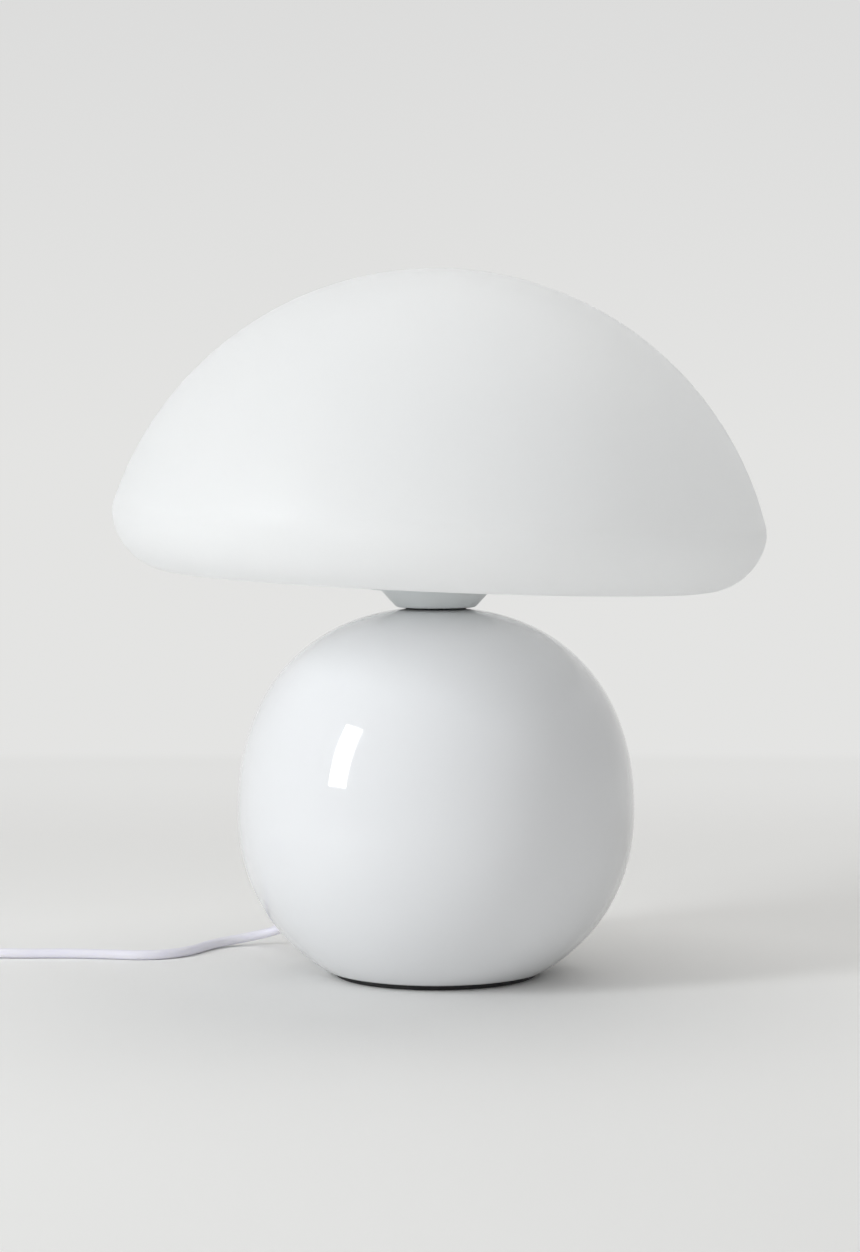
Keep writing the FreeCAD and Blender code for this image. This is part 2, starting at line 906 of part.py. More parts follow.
def lamp_cord():
    return cord_tube("lamp_cord", [
        bush_tip,
        bush_tip + exit_way * 16.5,
        Vector(-99, 87, 4),
        Vector(-116, 77, floor_z),
        Vector(-128, 48, floor_z),
        Vector(-147, 37.5, floor_z),
        Vector(-168, 42, floor_z),
        Vector(-190, 45, floor_z),
        Vector(-214, 44, floor_z),
        Vector(-236, 44.5, floor_z + 0.5),
        Vector(-255, 44, switch_split_z - 0.2),
        Vector(switch_east - 6, switch_y, switch_split_z),
    ])


def mains_cord():
    return cord_tube("mains_cord", [
        Vector(switch_west + 8, switch_y, switch_split_z),
        Vector(switch_west - 5.5, switch_y + 0.2, switch_split_z - 0.1),
        Vector(switch_west - 19, switch_y - 0.1, floor_z + 0.1),
        Vector(coil_entry_x, switch_y, floor_z),
    ])


def cord_coil():
    """Ring that the coiled cord fills: flat spiral layers, one on the other."""
    inner = coil_inner_turn - cord_radius
    outer = coil_outer_turn + cord_radius
    height = coil_layers * 2 * cord_radius
    coil = turned([
        (inner, 0, cord_radius),
        (outer, 0, cord_radius),
        (outer, height, cord_radius),
        (inner, height, cord_radius),
    ])
    coil.translate(Vector(coil_x, coil_y, 0))
    return coil


def plug_cord():
    return cord_tube("plug_cord", [
        Vector(coil_entry_x, plug_y, floor_z + 5),
        Vector(coil_entry_x + 6.5, plug_y + 0.2, floor_z + 5),
        Vector(plug_x - relief_length - 6.5, plug_y, plug_z),
        Vector(plug_x - relief_length, plug_y, plug_z),
    ])


# ---- inline switch -----------------------------------------------------------------------------
def at_switch(shape):
    shape.translate(Vector(switch_x, switch_y, 0))
    return shape


def switch_outline():
    end = switch_length / 2
    side = switch_width / 2
    spout = switch_spout / 2
    shoulder = end - 9
    return [
        (end, -spout, 2),
        (end, spout, 2),
        (shoulder, side, 8),
        (-shoulder, side, 8),
        (-end, spout, 2),
        (-end, -spout, 2),
        (-shoulder, -side, 8),
        (shoulder, -side, 8),
    ]


def switch_hollow(low, high):
    reach = switch_length / 2 - 9
    side = switch_width / 2 - switch_wall
    return prism([(reach, -side, 5), (reach, side, 5), (-reach, side, 5), (-reach, -side, 5)], low, high)


def cord_way():
    end = switch_length / 2 + 1
    return rod_along(cord_radius + cord_gap, Vector(-end, 0, switch_split_z), Vector(end, 0, switch_split_z))


screw_spots = ((14.5, -7.2), (-14.5, 7.2))


def switch_base():
    shell = softened(prism(switch_outline(), 0, switch_split_z), 1.5, -0.01, 0.01)
    shell = shell.cut(switch_hollow(switch_wall, switch_split_z + 1)).cut(cord_way())
    for x, y in screw_spots:
        shell = shell.fuse(rod(3.2, 0.9, switch_split_z, x, y))
        shell = shell.cut(rod(2.3, -1, 2.4, x, y))
        shell = shell.cut(rod(switch_screw_radius + 0.1, 0, switch_split_z + 1, x, y))
    return at_switch(shell)


def switch_cover():
    top = switch_height
    shell = softened(prism(switch_outline(), switch_split_z, top), 2.5, top - 0.01, top + 0.01)
    shell = shell.cut(switch_hollow(switch_split_z - 1, top - switch_wall)).cut(cord_way())
    half = rocker_radius + 0.4
    side = rocker_width / 2 + 0.3
    shell = shell.cut(block(-half, half, -side, side, top - 4, top + 1))
    for sign in (-1, 1):
        near = sign * side
        far = sign * (side + 2.2)
        rib = block(-3.2, 3.2, min(near, far), max(near, far), switch_split_z, top - switch_wall)
        shell = shell.fuse(rib)
    pivot = rod_along(rocker_pin_radius + slip, Vector(0, -9, rocker_pivot_z), Vector(0, 9, rocker_pivot_z))
    shell = shell.cut(pivot)
    for x, y in screw_spots:
        shell = shell.fuse(rod(2.9, switch_split_z, top - 1, x, y))
        shell = shell.cut(rod(switch_screw_radius + slip, switch_split_z - 1, top - 2.6, x, y))
    return at_switch(shell)


def switch_screws():
    screws = []
    for x, y in screw_spots:
        screw = rod(switch_screw_radius, 1.2, switch_height - 3.2, x, y).fuse(rod(2.1, 1.0, 2.35, x, y))
        screws.append(screw.cut(block(x - 3, x + 3, y - 0.3, y + 0.3, 0.5, 1.6)))
    return at_switch(Part.makeCompound(screws))


def tilted_off(shape):
    """The rocker's parts at rest: the side away from the lamp is down, which is off."""
    shape.rotate(Vector(0, 0, rocker_pivot_z), Vector(0, 1, 0), -rocker_throw)
    return at_switch(shape)


def switch_rocker():
    def rim(degrees):
        turn = math.radians(degrees)
        return Vector(rocker_radius * math.cos(turn), 0, rocker_pivot_z + rocker_radius * math.sin(turn))

    def mirrored(point):
        return Vector(-point.x, 0, point.z)

    high = rim(33)
    low = rim(-20)
    side = rim(6)
    dip = in_profile(0, rocker_pivot_z + 5.9)
    top = Part.Arc(high, in_profile(rocker_radius * 0.42, rocker_pivot_z + 5.35), dip)
    edges = [
        Part.Arc(low, side, high).toShape(),
        top.toShape(),
        Part.Arc(dip, in_profile(-rocker_radius * 0.42, rocker_pivot_z + 5.35), mirrored(high)).toShape(),
        Part.Arc(mirrored(high), mirrored(side), mirrored(low)).toShape(),
        line(mirrored(low), low),
    ]
    body = face_of(edges)
    body.translate(Vector(0, -rocker_width / 2, 0))
    body = body.extrude(Vector(0, rocker_width, 0))
    reach = rocker_width / 2 + 1.9
    pins = rod_along(rocker_pin_radius, Vector(0, -reach, rocker_pivot_z), Vector(0, reach, rocker_pivot_z))
    return tilted_off(body.fuse(pins))


rocker_foot_z = rocker_pivot_z + rocker_radius * math.sin(math.radians(-20))


def switch_bridge():
    """Brass strip under the rocker that joins the two contacts when it is pressed on."""
    return tilted_off(block(-1.5, 7.5, -1.8, 1.8, rocker_foot_z - 0.6, rocker_foot_z))


def switch_contacts():
    floor = switch_wall
    live = block(12.4, 17.0, -2.6, 3.4, floor, 6.2).fuse(block(5.5, 12.4, -1.5, 1.5, 4.2, 4.8))
    post = block(-17.0, -12.4, -3.4, 2.6, floor, 6.2)
    strip = block(-12.4, -3.0, -1.5, 1.5, 4.2, 4.8)
    step = block(-3.0, -2.4, -1.5, 1.5, 4.2, 5.5)
    tongue = block(-3.0, 0.5, -1.5, 1.5, 4.9, 5.5)
    common = post.fuse(strip).fuse(step).fuse(tongue).removeSplitter()
    bored = []
    for side, contact in ((1, live.removeSplitter()), (-1, common)):
        bored.append(contact.cut(rod_along(1.1, Vector(side * 18, 0, 4), Vector(side * 12.9, 0, 4))))
    return at_switch(Part.makeCompound(bored))


# ---- plug --------------------------------------------------------------------------------------
def at_plug(shape):
    shape.translate(Vector(plug_x, plug_y, plug_z))
    return shape


def plug_pin_frames():
    """Root and direction of each pin: they lean towards each other a little, to spring in the socket."""
    lean = math.radians(plug_pin_lean)
    for side in (-1, 1):
        root = Vector(plug_length, side * plug_pin_pitch / 2, 0)
        yield root, Vector(math.cos(lean), -side * math.sin(lean), 0)


def plug_body():
    wide = plug_width / 2
    rear = plug_rear_width / 2
    plan = [
        (0, -rear, 1.5),
        (10, -rear - 2.6, 14),
        (21, -rear - 3.6, 12),
        (31, -wide, 5),
        (plug_length, -wide, 1.5),
        (plug_length, wide, 1.5),
        (31, wide, 5),
        (21, rear + 3.6, 12),
        (10, rear + 2.6, 14),
        (0, rear, 1.5),
    ]
    half = plug_thickness / 2
    form = prism(plan, -half, half)
    side = face_of(rounded_edges([
        (0, -half + 1.6, 1.5),
        (12, -half, 20),
        (plug_length, -half, 2.5),
        (plug_length, half, 2.5),
        (12, half, 20),
        (0, half - 1.6, 1.5),
    ], in_profile))
    side.translate(Vector(0, -plug_width, 0))
    form = form.common(side.extrude(Vector(0, 2 * plug_width, 0)))
    for root, way in plug_pin_frames():
        form = form.cut(rod_along(plug_pin_radius * 0.75 + slip, root - way * 7, root + way * 2))
    return at_plug(form)


def plug_pins():
    core = plug_pin_radius * 0.75
    pin = turned([
        (0, -7 + slip),
        (core, -7 + slip),
        (core, 10),
        (plug_pin_radius, 10),
        (plug_pin_radius, plug_pin_length, plug_pin_radius * 0.9),
        (0, plug_pin_length),
    ])
    return at_plug(Part.makeCompound([stood_on(pin, root, way) for root, way in plug_pin_frames()]))


def pin_sleeves():
    core = plug_pin_radius * 0.75 + slip
    sleeve = turned([
        (core, 0.3),
        (plug_pin_radius - 0.05, 0.3),
        (plug_pin_radius - 0.05, 10 - slip),
        (core, 10 - slip),
    ])
    return at_plug(Part.makeCompound([stood_on(sleeve, root, way) for root, way in plug_pin_frames()]))


def plug_relief():
    """Ribbed sleeve, moulded on the cord's end, that keeps it from kinking behind the plug."""
    ribs = 4
    pitch = (relief_length - 4) / ribs
    taper = (relief_radius - cord_radius - 0.9) / relief_length
    corners = [(0, 0), (relief_radius, 0)]
    for i in range(ribs):
        at = 2.5 + i * pitch
        radius = relief_radius - taper * at
        corners += [(radius, at), (radius - 0.7, at + 0.4)]
        corners += [(radius - 0.7, at + 1.6), (radius - 0.1, at + 2.0)]
    corners += [(relief_radius - taper * relief_length, relief_length), (0, relief_length)]
    return at_plug(stood_on(turned(corners), Vector(), Vector(-1, 0, 0)))


SUB_PARTS = [
    foot_pad, bottom_plate, plate_screws, weight_screw, counterweight, base_shell,
    cord_bush, cord_grip, grip_screw, inner_cord, lead_wires,
    top_washer, inner_nut, nipple, neck_washer, neck_cup, lock_washer, cup_nut, shade_gasket,
    glass_shade,
    holder_cap, holder_sleeve, holder_core, screw_shell, centre_contact, terminals, terminal_screws,
    bulb_tip, bulb_insulator, bulb_cap, bulb_body, led_board, bulb_globe,
    lamp_cord, mains_cord, cord_coil, plug_cord,
    switch_base, switch_cover, switch_screws, switch_rocker, switch_bridge, switch_contacts,
    plug_body, plug_pins, pin_sleeves, plug_relief,
]

os.makedirs("parts", exist_ok=True)
for make in SUB_PARTS:
    shape = make()
    if not shape.isValid():
        print(f"{make.__name__} is not valid")
    shape.exportStep(f"parts/{make.__name__}.step")
    print(f"{make.__name__}: {len(shape.Solids)} solid, {shape.Volume / 1000:.2f} cm3")
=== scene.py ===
# %% [markdown]
# # A mushroom table lamp
#
# A blown opal shade rests on a small flared cup, over a lacquered ball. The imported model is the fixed
# frame: it holds every joint and every real size. This notebook puts smooth surfaces and finishes on
# it. Each new piece is worked out with numpy in the frame's own metres, so nothing has to be moved
# into place afterwards.

# %% Load the frame
import json
import math

import bmesh
import bpy
import numpy as np
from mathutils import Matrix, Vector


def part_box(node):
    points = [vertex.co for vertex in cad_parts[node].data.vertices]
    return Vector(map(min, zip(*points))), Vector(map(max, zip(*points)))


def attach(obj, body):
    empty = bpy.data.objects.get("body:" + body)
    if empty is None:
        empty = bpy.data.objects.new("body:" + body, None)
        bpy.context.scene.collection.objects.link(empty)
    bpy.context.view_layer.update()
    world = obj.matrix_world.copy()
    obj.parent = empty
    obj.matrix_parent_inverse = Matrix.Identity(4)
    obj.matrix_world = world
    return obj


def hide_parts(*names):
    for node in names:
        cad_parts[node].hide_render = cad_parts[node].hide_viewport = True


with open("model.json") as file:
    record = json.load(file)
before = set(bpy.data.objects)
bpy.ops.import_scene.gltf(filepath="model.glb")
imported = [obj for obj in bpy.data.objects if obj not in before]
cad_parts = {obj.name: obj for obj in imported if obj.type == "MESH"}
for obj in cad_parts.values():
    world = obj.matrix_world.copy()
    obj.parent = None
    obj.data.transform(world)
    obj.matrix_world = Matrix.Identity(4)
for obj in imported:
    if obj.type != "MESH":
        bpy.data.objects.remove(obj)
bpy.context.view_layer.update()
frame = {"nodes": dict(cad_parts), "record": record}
MM = 0.001
HAIR = 0.0005  # millimetres from a solid's face to a new one, so that no two faces share a plane


def bottom_of(node):
    """Height of a solid's lowest point in the frame, in millimetres."""
    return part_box(node)[0].z / MM


def top_of(node):
    """Height of a solid's highest point in the frame, in millimetres."""
    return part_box(node)[1].z / MM


# %% [markdown]
# ## Camera
#
# The lamp's outline, the ellipse of its foot and the edge between floor and wall fix the camera: it
# stands 1.5 m in front of the lamp, a little higher than the ball, and looks slightly down. A long
# lens keeps the ball round. Blender measures the lens against the longer side of the picture, which
# is the height here.

# %% Camera
camera = bpy.data.objects.new("camera", bpy.data.cameras.new("camera"))
bpy.context.scene.collection.objects.link(camera)
bpy.context.scene.camera = camera
camera.data.sensor_width = 36.0
camera.data.lens = 87.73
LOOK_DOWN = 3.264
camera.location = (-2.95 * MM, -1511.9 * MM, 259.8 * MM)
camera.rotation_euler = (math.radians(90 - LOOK_DOWN), 0, 0)
camera.data.clip_end = 60.0
print("camera", tuple(round(v, 3) for v in camera.location))

# %% [markdown]
# ## Cord
#
# The cord is one length of soft vinyl flex. It could be a mesh tube, but a curve bends like a real
# cord: its few control points pull it round without kinks. Order 3 makes a quadratic spline, and
# `use_endpoint_u` makes it start and end on its outer points. Both are set after the points exist.
# The bevel circle has a radius of 1, and each point's own radius shrinks it to the cord's real one,
# because Blender reckons a curve's box from its points' radii.

# %% Cord helper
CORD_RADIUS = 2.5 * MM


def flex(name, points_mm):
    """Round cord: a circle of the cord's radius carried along one open quadratic spline."""
    curve = bpy.data.curves.new(name, "CURVE")
    curve.dimensions = "3D"
    spline = curve.splines.new("NURBS")
    spline.points.add(len(points_mm) - 1)
    weighted = np.ones((len(points_mm), 4))
    weighted[:, :3] = np.asarray(points_mm, float) * MM
    spline.points.foreach_set("co", weighted.ravel())
    spline.points.foreach_set("radius", np.full(len(points_mm), CORD_RADIUS))
    spline.order_u = 3
    spline.use_endpoint_u = True
    spline.resolution_u = 8
    curve.bevel_depth = 1.0
    curve.bevel_resolution = 6
    curve.use_fill_caps = True
    cord = bpy.data.objects.new(name, curve)
    bpy.context.scene.collection.objects.link(cord)
    return cord


print("cord radius", CORD_RADIUS, "m")

# %% [markdown]
# The first stretch leaves the bush behind the ball, sinks to the table and comes round to the left,
# where it runs into the inline switch. The points are the route of the solid cord, in millimetres.

# %% Cord from the lamp to the switch
LYING = 2.5  # height of the cord's middle on the table
BUSH_TIP = np.array([-70.33, 72.83, 18.30])
EXIT_WAY = np.array([-0.5768, 0.5973, -0.5572])
lamp_lead = flex("lamp_lead", [
    BUSH_TIP,
    BUSH_TIP + 16.5 * EXIT_WAY,
    (-99, 87, 4),
    (-116, 77, LYING),
    (-128, 48, LYING),
    (-147, 37.5, LYING),
    (-168, 42, LYING),
    (-190, 45, LYING),
    (-214, 44, LYING),
    (-236, 44.5, 3.0),
    (-255, 44, 7.3),
    (-274, 44, 7.5),
])
print(lamp_lead.name, "has", len(lamp_lead.data.splines[0].points), "points")

# %% [markdown]
# The rest is put away beside the lamp as a flat coil of two layers. The lower layer winds inwards,
# the cord climbs over half a turn, and the upper layer winds back out to the plug. A spiral that
# moves one cord's width per turn keeps the strands side by side.

# %% Cord from the switch to the plug
COIL_CENTRE = np.array([-366.0, 5.5])
COIL_OUTER, COIL_INNER = 38.5, 20.5
LAYER_TURNS, CLIMB_TURNS = 3.5, 0.5
POINTS_PER_TURN = 16


def smooth(value):
    """Smooth step: 0 below 0, 1 above 1, and 3v^2 - 2v^3 between."""
    value = np.clip(value, 0, 1)
    return value * value * (3 - 2 * value)


def coil_points():
    """Two-layer spiral. At turn t the angle is 90 + 360 t degrees and the radius falls evenly from the
    outer to the inner turn, stays there while the height rises by one cord, then grows back. The
    points stand a little outside, by 1 / cos(half a step), so that the curve keeps the radius."""
    turns = np.arange(1, (2 * LAYER_TURNS + CLIMB_TURNS) * POINTS_PER_TURN) / POINTS_PER_TURN
    inward = np.clip(turns / LAYER_TURNS, 0, 1)
    outward = np.clip((turns - LAYER_TURNS - CLIMB_TURNS) / LAYER_TURNS, 0, 1)
    radius = COIL_OUTER - (COIL_OUTER - COIL_INNER) * (inward - outward)
    height = LYING + 2 * LYING * smooth((turns - LAYER_TURNS) / CLIMB_TURNS)
    away = radius / math.cos(math.pi / POINTS_PER_TURN)
    angle = math.pi / 2 + 2 * math.pi * turns
    x = COIL_CENTRE[0] + away * np.cos(angle)
    y = COIL_CENTRE[1] + away * np.sin(angle)
    return np.column_stack([x, y, height])


mains_lead = flex("mains_lead", np.vstack([
    [(-316, 44, 7.5), (-329.5, 44.2, 7.4), (-343, 43.9, 2.6), (-356, 44, LYING)],
    coil_points(),
    [(-356, -33, 7.5), (-349.5, -32.8, 7.5), (-342.5, -33, 7.0), (-336, -33, 7.0)],
]))
print("coil points", len(coil_points()))

# %% [markdown]
# ## Surfaces
#
# Most of the lamp is turned: a profile goes once round the axis. Blender has a Screw modifier for
# that, but here the whole grid of points is worked out at once, which also allows a form that leans
# or carries a thread. `skin` turns a grid of points into a closed mesh: it merges the points that
# meet at a pole or a seam, points every face outwards, and keeps only the real edges sharp.

# %% Skin helper
def skin(name, grid, wrap_rows=True):
    """Quads over a grid (rows, columns, xyz). The last column always joins the first, as a turned
    surface does; with wrap_rows the last row joins the first too."""
    rows, columns = grid.shape[:2]
    index = np.arange(rows * columns).reshape(rows, columns)
    across = np.roll(index, -1, axis=1)
    quads = np.stack([index, across, np.roll(across, -1, axis=0), np.roll(index, -1, axis=0)], axis=-1)
    quads = quads[: rows if wrap_rows else rows - 1]
    mesh = bpy.data.meshes.new(name)
    mesh.from_pydata(grid.reshape(-1, 3), [], quads.reshape(-1, 4))
    work = bmesh.new()
    work.from_mesh(mesh)
    bmesh.ops.remove_doubles(work, verts=work.verts, dist=2e-7)
    bmesh.ops.dissolve_degenerate(work, edges=work.edges, dist=1e-7)
    bmesh.ops.recalc_face_normals(work, faces=work.faces)
    work.to_mesh(mesh)
    work.free()
    mesh.shade_smooth()
    mesh.set_sharp_from_angle(angle=math.radians(32))
    piece = bpy.data.objects.new(name, mesh)
    bpy.context.scene.collection.objects.link(piece)
    return piece


def place(piece, body, slot, *nodes):
    """Seats a finished piece on its body, in place of the nodes it stands for."""
    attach(piece, body)
    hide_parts(*nodes)
    print(piece.name, len(piece.data.polygons), "faces for", ", ".join(nodes))
    return piece


# %% [markdown]
# A profile is a list of (radius, height) points. Real parts have no perfectly sharp corners, because
# a tool, a mould or a coat of paint always rounds them, and those small rounds catch the light. So a
# corner carries its own rounding as a third number. Long straight stretches get extra points, which
# keeps their shading flat right up to the round.

# %% Profile helpers
def arc(centre, radius, start, stop, count):
    """Circle: the centre plus the radius times (cosine, sine) of evenly spaced angles in degrees."""
    turn = np.radians(np.linspace(start, stop, count))
    return np.column_stack([centre[0] + radius * np.cos(turn), centre[1] + radius * np.sin(turn)])


def rounded(corners, steps=6, closed=False):
    """Rounds every corner with a circle tangent to both sides. The circle's centre lies on the
    bisector, radius / sin(half angle) from the corner. Worked out for all corners together."""
    corners = np.array([tuple(c) + (0.0,) * (3 - len(c)) for c in corners])
    here, radius = corners[:, :2], corners[:, 2:]
    before = np.roll(here, 1, axis=0) - here
    after = np.roll(here, -1, axis=0) - here
    before = before / np.linalg.norm(before, axis=1, keepdims=True)
    after = after / np.linalg.norm(after, axis=1, keepdims=True)
    middle = before + after
    middle = middle / np.maximum(np.linalg.norm(middle, axis=1, keepdims=True), 1e-9)
    along = after - before
    along = along / np.maximum(np.linalg.norm(along, axis=1, keepdims=True), 1e-9)
    half = np.arccos(np.clip((before * middle).sum(1, keepdims=True), -1, 1))
    centre = here + middle * radius / np.maximum(np.sin(half), 1e-6)
    sweep = np.linspace(-1, 1, steps)[None, :, None] * (math.pi / 2 - half)[:, None, :]
    way = along[:, None] * np.sin(sweep) - middle[:, None] * np.cos(sweep)
    points = centre[:, None] + radius[:, None] * way
    if not closed:
        points[[0, -1]] = here[[0, -1], None]
    return points.reshape(-1, 2)


def spaced(profile, step, closed=False):
    """Adds points to a profile so that none are further apart than step, and keeps its own points."""
    if closed:
        profile = np.vstack([profile, profile[:1]])
    length = np.concatenate([[0], np.cumsum(np.linalg.norm(np.diff(profile, axis=0), axis=1))])
    keep = np.concatenate([[True], np.diff(length) > 1e-6])
    profile, length = profile[keep], length[keep]
    wanted = np.union1d(length, np.arange(0, length[-1], step))
    wanted = wanted[np.concatenate([[True], np.diff(wanted) > 1e-4])]
    profile = np.column_stack([np.interp(wanted, length, column) for column in profile.T])
    return profile[:-1] if closed else profile


def turned(profile, segments):
    """Surface of revolution: (r cos t, r sin t, z) for each profile point and evenly spaced angle t."""
    turn = np.linspace(0, 2 * math.pi, segments, endpoint=False)
    radius, height = profile[:, :1], profile[:, 1:]
    flat = [radius * np.cos(turn), radius * np.sin(turn), height * np.ones(segments)]
    return np.stack(flat, axis=-1) * MM


print("profile test", spaced(rounded([(0, 0), (5, 0, 1), (5, 8, 1), (0, 8)]), 1.0).shape)

# %% [markdown]
# ## The opal shade
#
# The shade is one piece of blown opal glass, 3.2 mm thick. Its outline is a large sphere for the
# crown, a tight round shoulder, and a soft crease of 15 mm where they meet. The crease touches both
# from inside, so its centre lies where two circles cross: the crown's and the shoulder's, each made
# smaller by the crease's radius.

# %% Circles of the shade
SHADE_TOP, DISH_LEVEL = 350.0, 196.4
CROWN_RADIUS, SHOULDER_RADIUS, CREASE_RADIUS = 167.5, 31.0, 15.0
CROWN = np.array([0.0, SHADE_TOP - CROWN_RADIUS])
SHOULDER = np.array([130.5, DISH_LEVEL + SHOULDER_RADIUS])


def crossing(a, radius_a, b, radius_b):
    """Where two circles cross: along the line of centres to the triangle's foot, then out square
    to that line."""
    gap = np.linalg.norm(b - a)
    way = (b - a) / gap
    along = (radius_a ** 2 - radius_b ** 2 + gap ** 2) / (2 * gap)
    return a + way * along + np.array([way[1], -way[0]]) * math.sqrt(radius_a ** 2 - along ** 2)


def bearing(a, b):
    """Angle in degrees of the way from a to b."""
    return math.degrees(math.atan2(b[1] - a[1], b[0] - a[0]))


CREASE = crossing(CROWN, CROWN_RADIUS - CREASE_RADIUS, SHOULDER, SHOULDER_RADIUS - CREASE_RADIUS)
print("crease at radius", round(float(CREASE[0]), 2), "height", round(float(CREASE[1]), 2), "mm")

# %% [markdown]
# The underside is a shallow dish that ends in a short ground collar. The two halves of the mould
# leave a hair-fine line at the shade's widest place. A bump map could draw it, but a real groove
# also shows in the outline and in the finished mesh.

# %% Shade profile
GLASS, DISH_START, DISH_RADIUS = 3.2, 33.0, 2731.06
GROOVE_DEPTH, GROOVE_ANGLE, CROWDING = 0.05, 0.5, 5.6


def bell(inset, fine, rings, crowd=1000.0, groove=0.0):
    """Crown, crease, shoulder and dish as tangent circles, all set inwards by `inset`. The parting
    line is a groove at the widest circle: its depth times a bell curve of the angle on the shoulder.
    A small crowd draws the shoulder's rings together there: an angle is crowd times the hyperbolic
    sine of even steps, so neighbours are nearly alike and the shading stays smooth. The large one
    leaves them evenly spread."""
    at_crown, at_shoulder = bearing(CROWN, CREASE), bearing(SHOULDER, CREASE)
    reach = np.linspace(SHOULDER[0], DISH_START, 3 * fine)[1:]
    run = SHOULDER[0] - reach
    dish = SHOULDER[1] - SHOULDER_RADIUS + inset + run ** 2 / (2 * DISH_RADIUS)
    steps = np.linspace(math.asinh(at_shoulder / crowd), math.asinh(-90 / crowd), rings)
    turn = crowd * np.sinh(steps)
    away = SHOULDER_RADIUS - inset - groove * np.exp(-(turn / GROOVE_ANGLE) ** 2)
    turn = np.radians(turn)
    return [
        arc(CROWN, CROWN_RADIUS - inset, 90, at_crown, 7 * fine),
        arc(CREASE, CREASE_RADIUS - inset, at_crown, at_shoulder, 2 * fine)[1:],
        (SHOULDER + np.column_stack([away * np.cos(turn), away * np.sin(turn)]))[1:],
        np.column_stack([reach, dish]),
    ]


outside = bell(0, 8, 136, crowd=CROWDING, groove=GROOVE_DEPTH)
inside = bell(GLASS, 6, 24)
COLLAR_RADIUS, SHADE_MOUTH, COLLAR_ROUND = 32.2, 27.0, 1.6
REST_GAP = 0.25
COLLAR_FOOT = top_of("shade_gasket") + REST_GAP + HAIR
collar = spaced(rounded([
    (DISH_START, DISH_LEVEL + 1.72), (COLLAR_RADIUS, DISH_LEVEL + 1.8, 0.3),
    (COLLAR_RADIUS, COLLAR_FOOT, COLLAR_ROUND), (SHADE_MOUTH, COLLAR_FOOT, COLLAR_ROUND),
    (SHADE_MOUTH, DISH_LEVEL + 5.2, 0.6), (DISH_START, DISH_LEVEL + 5.0),
]), 1.2)
print("profile points outside", sum(map(len, outside)), "inside", sum(map(len, inside)))

# %% [markdown]
# The glass leans by 2.35 degrees, but its collar is ground level so that it sits flat on the gasket.
# One turned surface can do both, because each profile point knows how much of the lean it takes. The
# lean is a rotation about the depth axis. Its share is 1 on the crown and the shoulder, and fades to
# 0 over the last 27 mm of the dish.

# %% Leaning shade
LEAN, LEAN_HEIGHT, LEAN_FADE = math.radians(2.35), 183.2, 27.0


def lean_share(profile):
    """Smooth step from 0 at radius 33 mm to 1 at 60 mm; only the underside uses it."""
    return smooth((profile[:, 0] - DISH_START) / LEAN_FADE)


under = [outside[3], collar, inside[3][::-1]]
profile = np.vstack(outside[:3] + under + [p[::-1] for p in inside[2::-1]])
upper_share = [np.ones(len(p)) for p in outside[:3]]
lower_share = [np.ones(len(p)) for p in inside[2::-1]]
share = np.concatenate(upper_share + [lean_share(p) for p in under] + lower_share)
grid = turned(profile, 224)
turn = (LEAN * share)[:, None]
across, above = grid[..., 0].copy(), grid[..., 2] - LEAN_HEIGHT * MM
grid[..., 0] = across * np.cos(turn) + above * np.sin(turn)
grid[..., 2] = LEAN_HEIGHT * MM - across * np.sin(turn) + above * np.cos(turn)
shade = place(skin("opal_shade", grid, wrap_rows=False), "shade", "opal_glass", "glass_shade")

# %% [markdown]
# ## The ball
#
# The ball is spun from steel sheet and lacquered. It is a little taller above its middle than below,
# and slightly fuller than a sphere, so a plain UV sphere would not match its outline. A power curve
# does: |r/R|^n + |z/H|^n = 1 is an ellipse at n = 2 and grows squarer as n rises.

# %% Ball profile
BALL_RADIUS, BALL_MIDDLE = 98.7, 81.2
TOP_HEIGHT, TOP_POWER = 101.8, 2.25
BOTTOM_DEPTH, BOTTOM_POWER = 92.2, 2.1
HOLE_RADIUS, LAND_RADIUS, LAND_HEIGHT = 5.2, 15.5, top_of("base_shell") + HAIR
FOOT_HEIGHT, MOUTH_RADIUS, RIM_ROUND, SHEET = bottom_of("base_shell"), 43.0, 9.0, 1.6


def ball_curve(inset, start, stop, count):
    """Power curve in polar form: the reach at each angle is (|cos/R|^n + |sin/H|^n)^(-1/n)."""
    turn = np.radians(np.linspace(start, stop, count))
    above = turn > 0
    height = np.where(above, TOP_HEIGHT, BOTTOM_DEPTH) - inset
    power = np.where(above, TOP_POWER, BOTTOM_POWER)
    across = (np.abs(np.cos(turn)) / (BALL_RADIUS - inset)) ** power
    reach = (across + (np.abs(np.sin(turn)) / height) ** power) ** (-1 / power)
    return np.column_stack([reach * np.cos(turn), BALL_MIDDLE + reach * np.sin(turn)])


def cut_at(curve, column, value):
    """The part of a curve before one of its coordinates reaches a value, ended exactly there."""
    rising = np.sign(curve[-1, column] - curve[0, column])
    before = curve[rising * (curve[:, column] - value) < 0]
    other = 1 - column
    order = np.argsort(curve[:, column])
    last = np.empty(2)
    last[column] = value
    last[other] = np.interp(value, curve[order, column], curve[order, other])
    return np.vstack([before, last])


print("ball test, radius and height:", ball_curve(0, 0, 89.9, 3).round(1).tolist())

# %% [markdown]
# The rim above the foot is rolled over with a 9 mm round. Its circle must touch both the flat bottom
# and the curve. Its centre lies 9 mm inside the curve, along the normal; the place where that offset
# line is also 9 mm above the bottom gives the circle.

